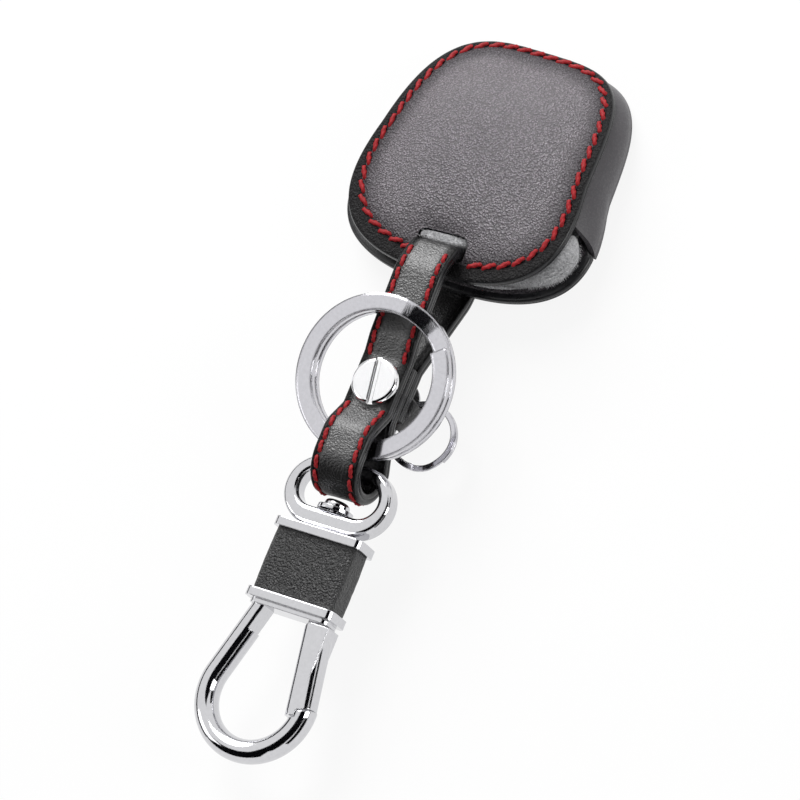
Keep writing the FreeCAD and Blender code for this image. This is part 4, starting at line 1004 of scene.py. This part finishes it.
def build_strap_seams():
    """Two rows of stitches on the outward faces, left out under the screw and in the slots."""
    line = strip_line(0.1)
    lengths = [0.0]
    for (a, _), (b, _) in zip(line, line[1:]):
        lengths.append(lengths[-1] + (b - a).length)
    count = int(lengths[-1] / STRAP_PITCH)
    points = []
    faces = []
    k = 0
    for i in range(1, count):
        goal = lengths[-1] * i / count
        while lengths[k] < goal:
            k += 1
        spot, heading = line[k]
        in_slot = abs(spot.y - SLOT_Y) < HALF_STRAP + 0.7
        if abs(spot.y) < HEAD / 2.0 + 1.3 or in_slot:
            continue
        left = Vector((0.0, -heading.z, heading.y))
        for x in (-STRAP_SEAM, STRAP_SEAM):
            for up in (left, -left):
                centre = Vector((0.0, max(spot.y, LOOP_END_Y + LOOP), STACK_Z))
                if up.dot(spot - centre) <= 0.0:
                    continue
                place = Vector((x, spot.y, spot.z)) + up * (HALF_STRAP - 0.12)
                add_stitch(points, faces, place, heading, up, 2.6 + random.uniform(-0.08, 0.08), 0.78, 0.5,
                           0.16 + random.uniform(-0.05, 0.05))
    piece = make_object("strap_seam_thread", points, faces)
    dress(piece, THREAD, "cover", ["strap_stitching"], 60.0)


build_strap()
build_strap_seams()


# Leather wrap of the hook block.

def build_wrap():
    """Sleeve with rounded corners, creased and slightly full between the flanges."""
    rows = 44
    count = 120
    outer_rings = []
    inner_rings = []
    for j in range(rows + 1):
        share = j / rows
        y = WRAP_END_Y + (WRAP_TOP_Y - WRAP_END_Y) * share
        full = 0.12 * math.sin(math.pi * share)
        for rings, shrink, soft in ((outer_rings, 0.12, True), (inner_rings, WRAP_WALL, False)):
            half_x = WRAP_WIDTH / 2.0 - shrink
            half_z = WRAP_DEPTH / 2.0 - shrink
            ring = []
            for k in range(count):
                angle = 2.0 * math.pi * (k + 0.5) / count
                c = math.cos(angle)
                s = math.sin(angle)
                reach = (abs(c / half_x) ** 9 + abs(s / half_z) ** 9) ** (-1.0 / 9.0)
                p = Vector((reach * c, y, AXIS_Z + reach * s))
                if soft:
                    fold = noise.noise(Vector((p.x * 0.35, y * 0.5, p.z * 0.5)))
                    ridge = noise.noise(Vector((p.x * 0.9 + 4.0, y * 1.1, p.z * 0.9)))
                    push = full + 0.07 * fold + 0.03 * ridge
                    p += Vector((math.copysign(abs(c) ** 4, c), 0.0, math.copysign(abs(s) ** 0.5, s))) * push
                ring.append(p)
            rings.append(ring)
    piece = looped("wrap_leather", outer_rings + list(reversed(inner_rings)))
    dress(piece, WRAP_LEATHER, "hook", ["hook_wrap"], 50.0)


build_wrap()


# Folded leather tab that holds the small ring on the screw post.

TAB_Z = 6.85
TAB_HALF = 1.7
TAB_WIDTH = 6.0
TAB_TAIL = -3.6
FOLD_X = 4.3
FOLD_HALF = 1.5
TAB_WALL = 0.6
TAB_ANGLE = -31.7


def even_loop(corners, count):
    """Points at equal steps along a closed line, starting at its first corner."""
    lengths = [0.0]
    for a, b in zip(corners, corners[1:] + corners[:1]):
        lengths.append(lengths[-1] + math.dist(a, b))
    loop = []
    k = 0
    for i in range(count):
        goal = lengths[-1] * i / count
        while lengths[k + 1] <= goal:
            k += 1
        share = (goal - lengths[k]) / (lengths[k + 1] - lengths[k])
        a = corners[k]
        b = corners[(k + 1) % len(corners)]
        loop.append((a[0] + (b[0] - a[0]) * share, a[1] + (b[1] - a[1]) * share))
    return loop


def build_tab():
    """The tab folded into a flat loop, its edges rounded, turned towards the small ring."""
    count = 96
    nose = FOLD_X + FOLD_HALF + TAB_WALL - TAB_HALF
    turns = [math.radians(-90.0 + 180.0 * k / 16) for k in range(17)]
    half_turn = turns[8:]
    other = turns[:8]
    outer = [(nose + TAB_HALF * math.cos(t), TAB_HALF * math.sin(t)) for t in half_turn]
    outer += [(TAB_TAIL, TAB_HALF), (TAB_TAIL, -TAB_HALF)]
    outer += [(nose + TAB_HALF * math.cos(t), TAB_HALF * math.sin(t)) for t in other]
    bore = TAB_HALF - TAB_WALL
    straight = FOLD_HALF - bore
    inner = [(FOLD_X + straight + bore * math.cos(t), bore * math.sin(t)) for t in half_turn]
    inner += [(FOLD_X - straight - bore * math.cos(t), -bore * math.sin(t)) for t in reversed(turns)]
    inner += [(FOLD_X + straight + bore * math.cos(t), bore * math.sin(t)) for t in other]
    outer = even_loop(outer, count)
    inner = even_loop(inner, count)
    half = TAB_WIDTH / 2.0
    stations = [(-half, 0.22), (-half + 0.06, 0.1), (-half + 0.2, 0.0), (half - 0.2, 0.0),
                (half - 0.06, 0.1), (half, 0.22)]

    def drawn_in(x, y, z, shrink):
        inward_x = math.copysign(shrink, x - FOLD_X + 2.0)
        inward_z = math.copysign(shrink, z) * min(1.0, abs(z))
        return Vector((x - inward_x, y, z - inward_z))

    rings = [[drawn_in(x, y, z, shrink) for x, z in outer] for y, shrink in stations]
    rings += [[Vector((x, y, z)) for x, z in inner] for y, _ in reversed(stations)]
    spin = Matrix.Rotation(math.radians(TAB_ANGLE), 3, "Z")
    rings = [[spin @ p + Vector((0.0, 0.0, TAB_Z)) for p in ring] for ring in rings]
    piece = looped("ring_tab_leather", rings)
    cut_post_hole(piece)
    dress(piece, STRAP_LEATHER, "cover", ["ring_tab"], 45.0)


build_tab()


# Metal pieces keep their solids; sharp rims get a small polished bevel.

METALS = {
    "strap_screw": (BRIGHT_CHROME, 0.12), "strap_screw_post": (CHROME, 0.12), "key_ring": (RING_STEEL, 0.3),
    "small_ring": (SMALL_STEEL, 0.15), "swivel_eye": (CHROME, 0.0), "swivel_rivet": (CHROME, 0.1),
    "swivel_washer": (CHROME, 0.12), "hook_body": (CHROME, 0.3), "gate": (CHROME, 0.18),
    "gate_pin": (CHROME, 0.1), "gate_spring": (SPRING_STEEL, 0.0),
}
for node, (material, rim) in METALS.items():
    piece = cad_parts[node]
    piece.data.materials.clear()
    piece.data.materials.append(material)
    if rim:
        bevel = piece.modifiers.new("rim", "BEVEL")
        bevel.width = rim * MM
        bevel.segments = 4
        bevel.limit_method = "ANGLE"
        bevel.angle_limit = math.radians(38.0)
        bevel.harden_normals = False


# Stage, light and camera.

def white_stage(name, share):
    """Pale floor: it shows white to the eye and in reflections, and still takes the shadow."""
    s = Shader(name)
    tree = s.tree
    path = tree.nodes.new("ShaderNodeLightPath")
    seen = s.math("MAXIMUM", s.math("MAXIMUM", path.outputs["Is Camera Ray"], path.outputs["Is Glossy Ray"]),
                  path.outputs["Is Transmission Ray"])
    grain = s.noise(60.0, 2.0)
    s.set(Base_Color=s.blend(s.ramp(grain, 0.3, 0.7), (0.93, 0.93, 0.93, 1), (0.95, 0.95, 0.95, 1)),
          Roughness=0.9, Specular_IOR_Level=0.0)
    glow = tree.nodes.new("ShaderNodeEmission")
    glow.inputs["Strength"].default_value = 1.0
    mix = tree.nodes.new("ShaderNodeMixShader")
    tree.links.new(s.math("MULTIPLY", seen, share), mix.inputs[0])
    tree.links.new(s.shader.outputs[0], mix.inputs[1])
    tree.links.new(glow.outputs[0], mix.inputs[2])
    tree.links.new(mix.outputs[0], tree.nodes["Material Output"].inputs["Surface"])
    return s.material


def flat_card(name, width, height, place, target, material):
    """Flat rectangle of the stage, facing its target."""
    mesh = bpy.data.meshes.new(name)
    corners = [(-width / 2, -height / 2, 0), (width / 2, -height / 2, 0), (width / 2, height / 2, 0),
               (-width / 2, height / 2, 0)]
    mesh.from_pydata(corners, [], [(0, 1, 2, 3)])
    card = bpy.data.objects.new(name, mesh)
    bpy.context.scene.collection.objects.link(card)
    card.location = place
    card.rotation_euler = (Vector(target) - Vector(place)).to_track_quat("Z", "Y").to_euler()
    card.data.materials.append(material)
    return card


floor = flat_card("floor", 6.0, 6.0, (0, 0, -0.0002), (0, 0, 1), white_stage("stage_white", 0.88))

world = bpy.data.worlds.new("studio")
bpy.context.scene.world = world
world.use_nodes = True
sky = world.node_tree
background = sky.nodes["Background"]
background.inputs["Color"].default_value = (1, 1, 1, 1)
path = sky.nodes.new("ShaderNodeLightPath")
eye = sky.nodes.new("ShaderNodeMath")
eye.operation = "MAXIMUM"
sky.links.new(path.outputs["Is Camera Ray"], eye.inputs[0])
sky.links.new(path.outputs["Is Glossy Ray"], eye.inputs[1])
level = sky.nodes.new("ShaderNodeMapRange")
level.inputs["To Min"].default_value = 0.3
level.inputs["To Max"].default_value = 1.0
sky.links.new(eye.outputs[0], level.inputs["Value"])
sky.links.new(level.outputs["Result"], background.inputs["Strength"])


def lamp(name, place, target, wide, high, power):
    """Soft box aimed at a point."""
    data = bpy.data.lights.new(name, "AREA")
    data.shape = "RECTANGLE"
    data.size = wide
    data.size_y = high
    data.energy = power
    item = bpy.data.objects.new(name, data)
    bpy.context.scene.collection.objects.link(item)
    item.location = place
    item.rotation_euler = (Vector(target) - Vector(place)).to_track_quat("-Z", "Y").to_euler()


lamp("key", (-0.45, 0.68, 0.62), (0, 0.03, 0.01), 0.55, 0.9, 12.0)
lamp("fill", (-0.7, -0.35, 0.5), (0, 0, 0.01), 0.4, 0.4, 1.0)
lamp("side", (0.75, 0.1, 0.35), (0, 0.02, 0.01), 0.25, 0.5, 2.2)


def flag(name, direction, wide, tall):
    """Dark card that only reflections see: it gives polished metal its black bands."""
    s = Shader(name)
    s.set(Base_Color=(0.004, 0.004, 0.005, 1), Roughness=1.0, Specular_IOR_Level=0.0)
    place = Vector(direction).normalized() * 0.9
    card = flat_card(name, wide, tall, place, (0, 0, 0), s.material)
    card.visible_camera = False
    card.visible_diffuse = False
    card.visible_shadow = False


flag("camera_flag", (0.447, -0.215, 0.867), 1.4, 1.0)
flag("near_flag", (-0.3, -0.8, 0.55), 1.2, 0.8)
flag("left_flag", (-1.0, 0.1, 0.16), 1.6, 0.26)
flag("right_flag", (1.0, 0.0, 0.25), 1.6, 0.42)

RIGHT = Vector((0.859, 0.371, -0.351))
DOWN = Vector((0.246, -0.903, -0.351))
TOWARDS = RIGHT.cross(-DOWN)
AIM = Vector((0.0, 0.0, 0.0165))
DISTANCE = 0.7
FOCAL_PIXELS = 3780.0
FRAME_PIXELS = 800.0
AIM_PIXEL = (375.0, 381.0)

eye_data = bpy.data.cameras.new("camera")
eye_data.sensor_width = 36.0
eye_data.lens = 36.0 * FOCAL_PIXELS / FRAME_PIXELS
eye_data.shift_x = (FRAME_PIXELS / 2.0 - AIM_PIXEL[0]) / FRAME_PIXELS
eye_data.shift_y = -(FRAME_PIXELS / 2.0 - AIM_PIXEL[1]) / FRAME_PIXELS
eye_data.clip_start = 0.01
camera = bpy.data.objects.new("camera", eye_data)
bpy.context.scene.collection.objects.link(camera)
turn = Matrix((RIGHT, -DOWN, TOWARDS)).transposed().to_4x4()
camera.matrix_world = Matrix.Translation(AIM + TOWARDS * DISTANCE) @ turn
bpy.context.scene.camera = camera
bpy.context.scene.view_settings.view_transform = "Standard"
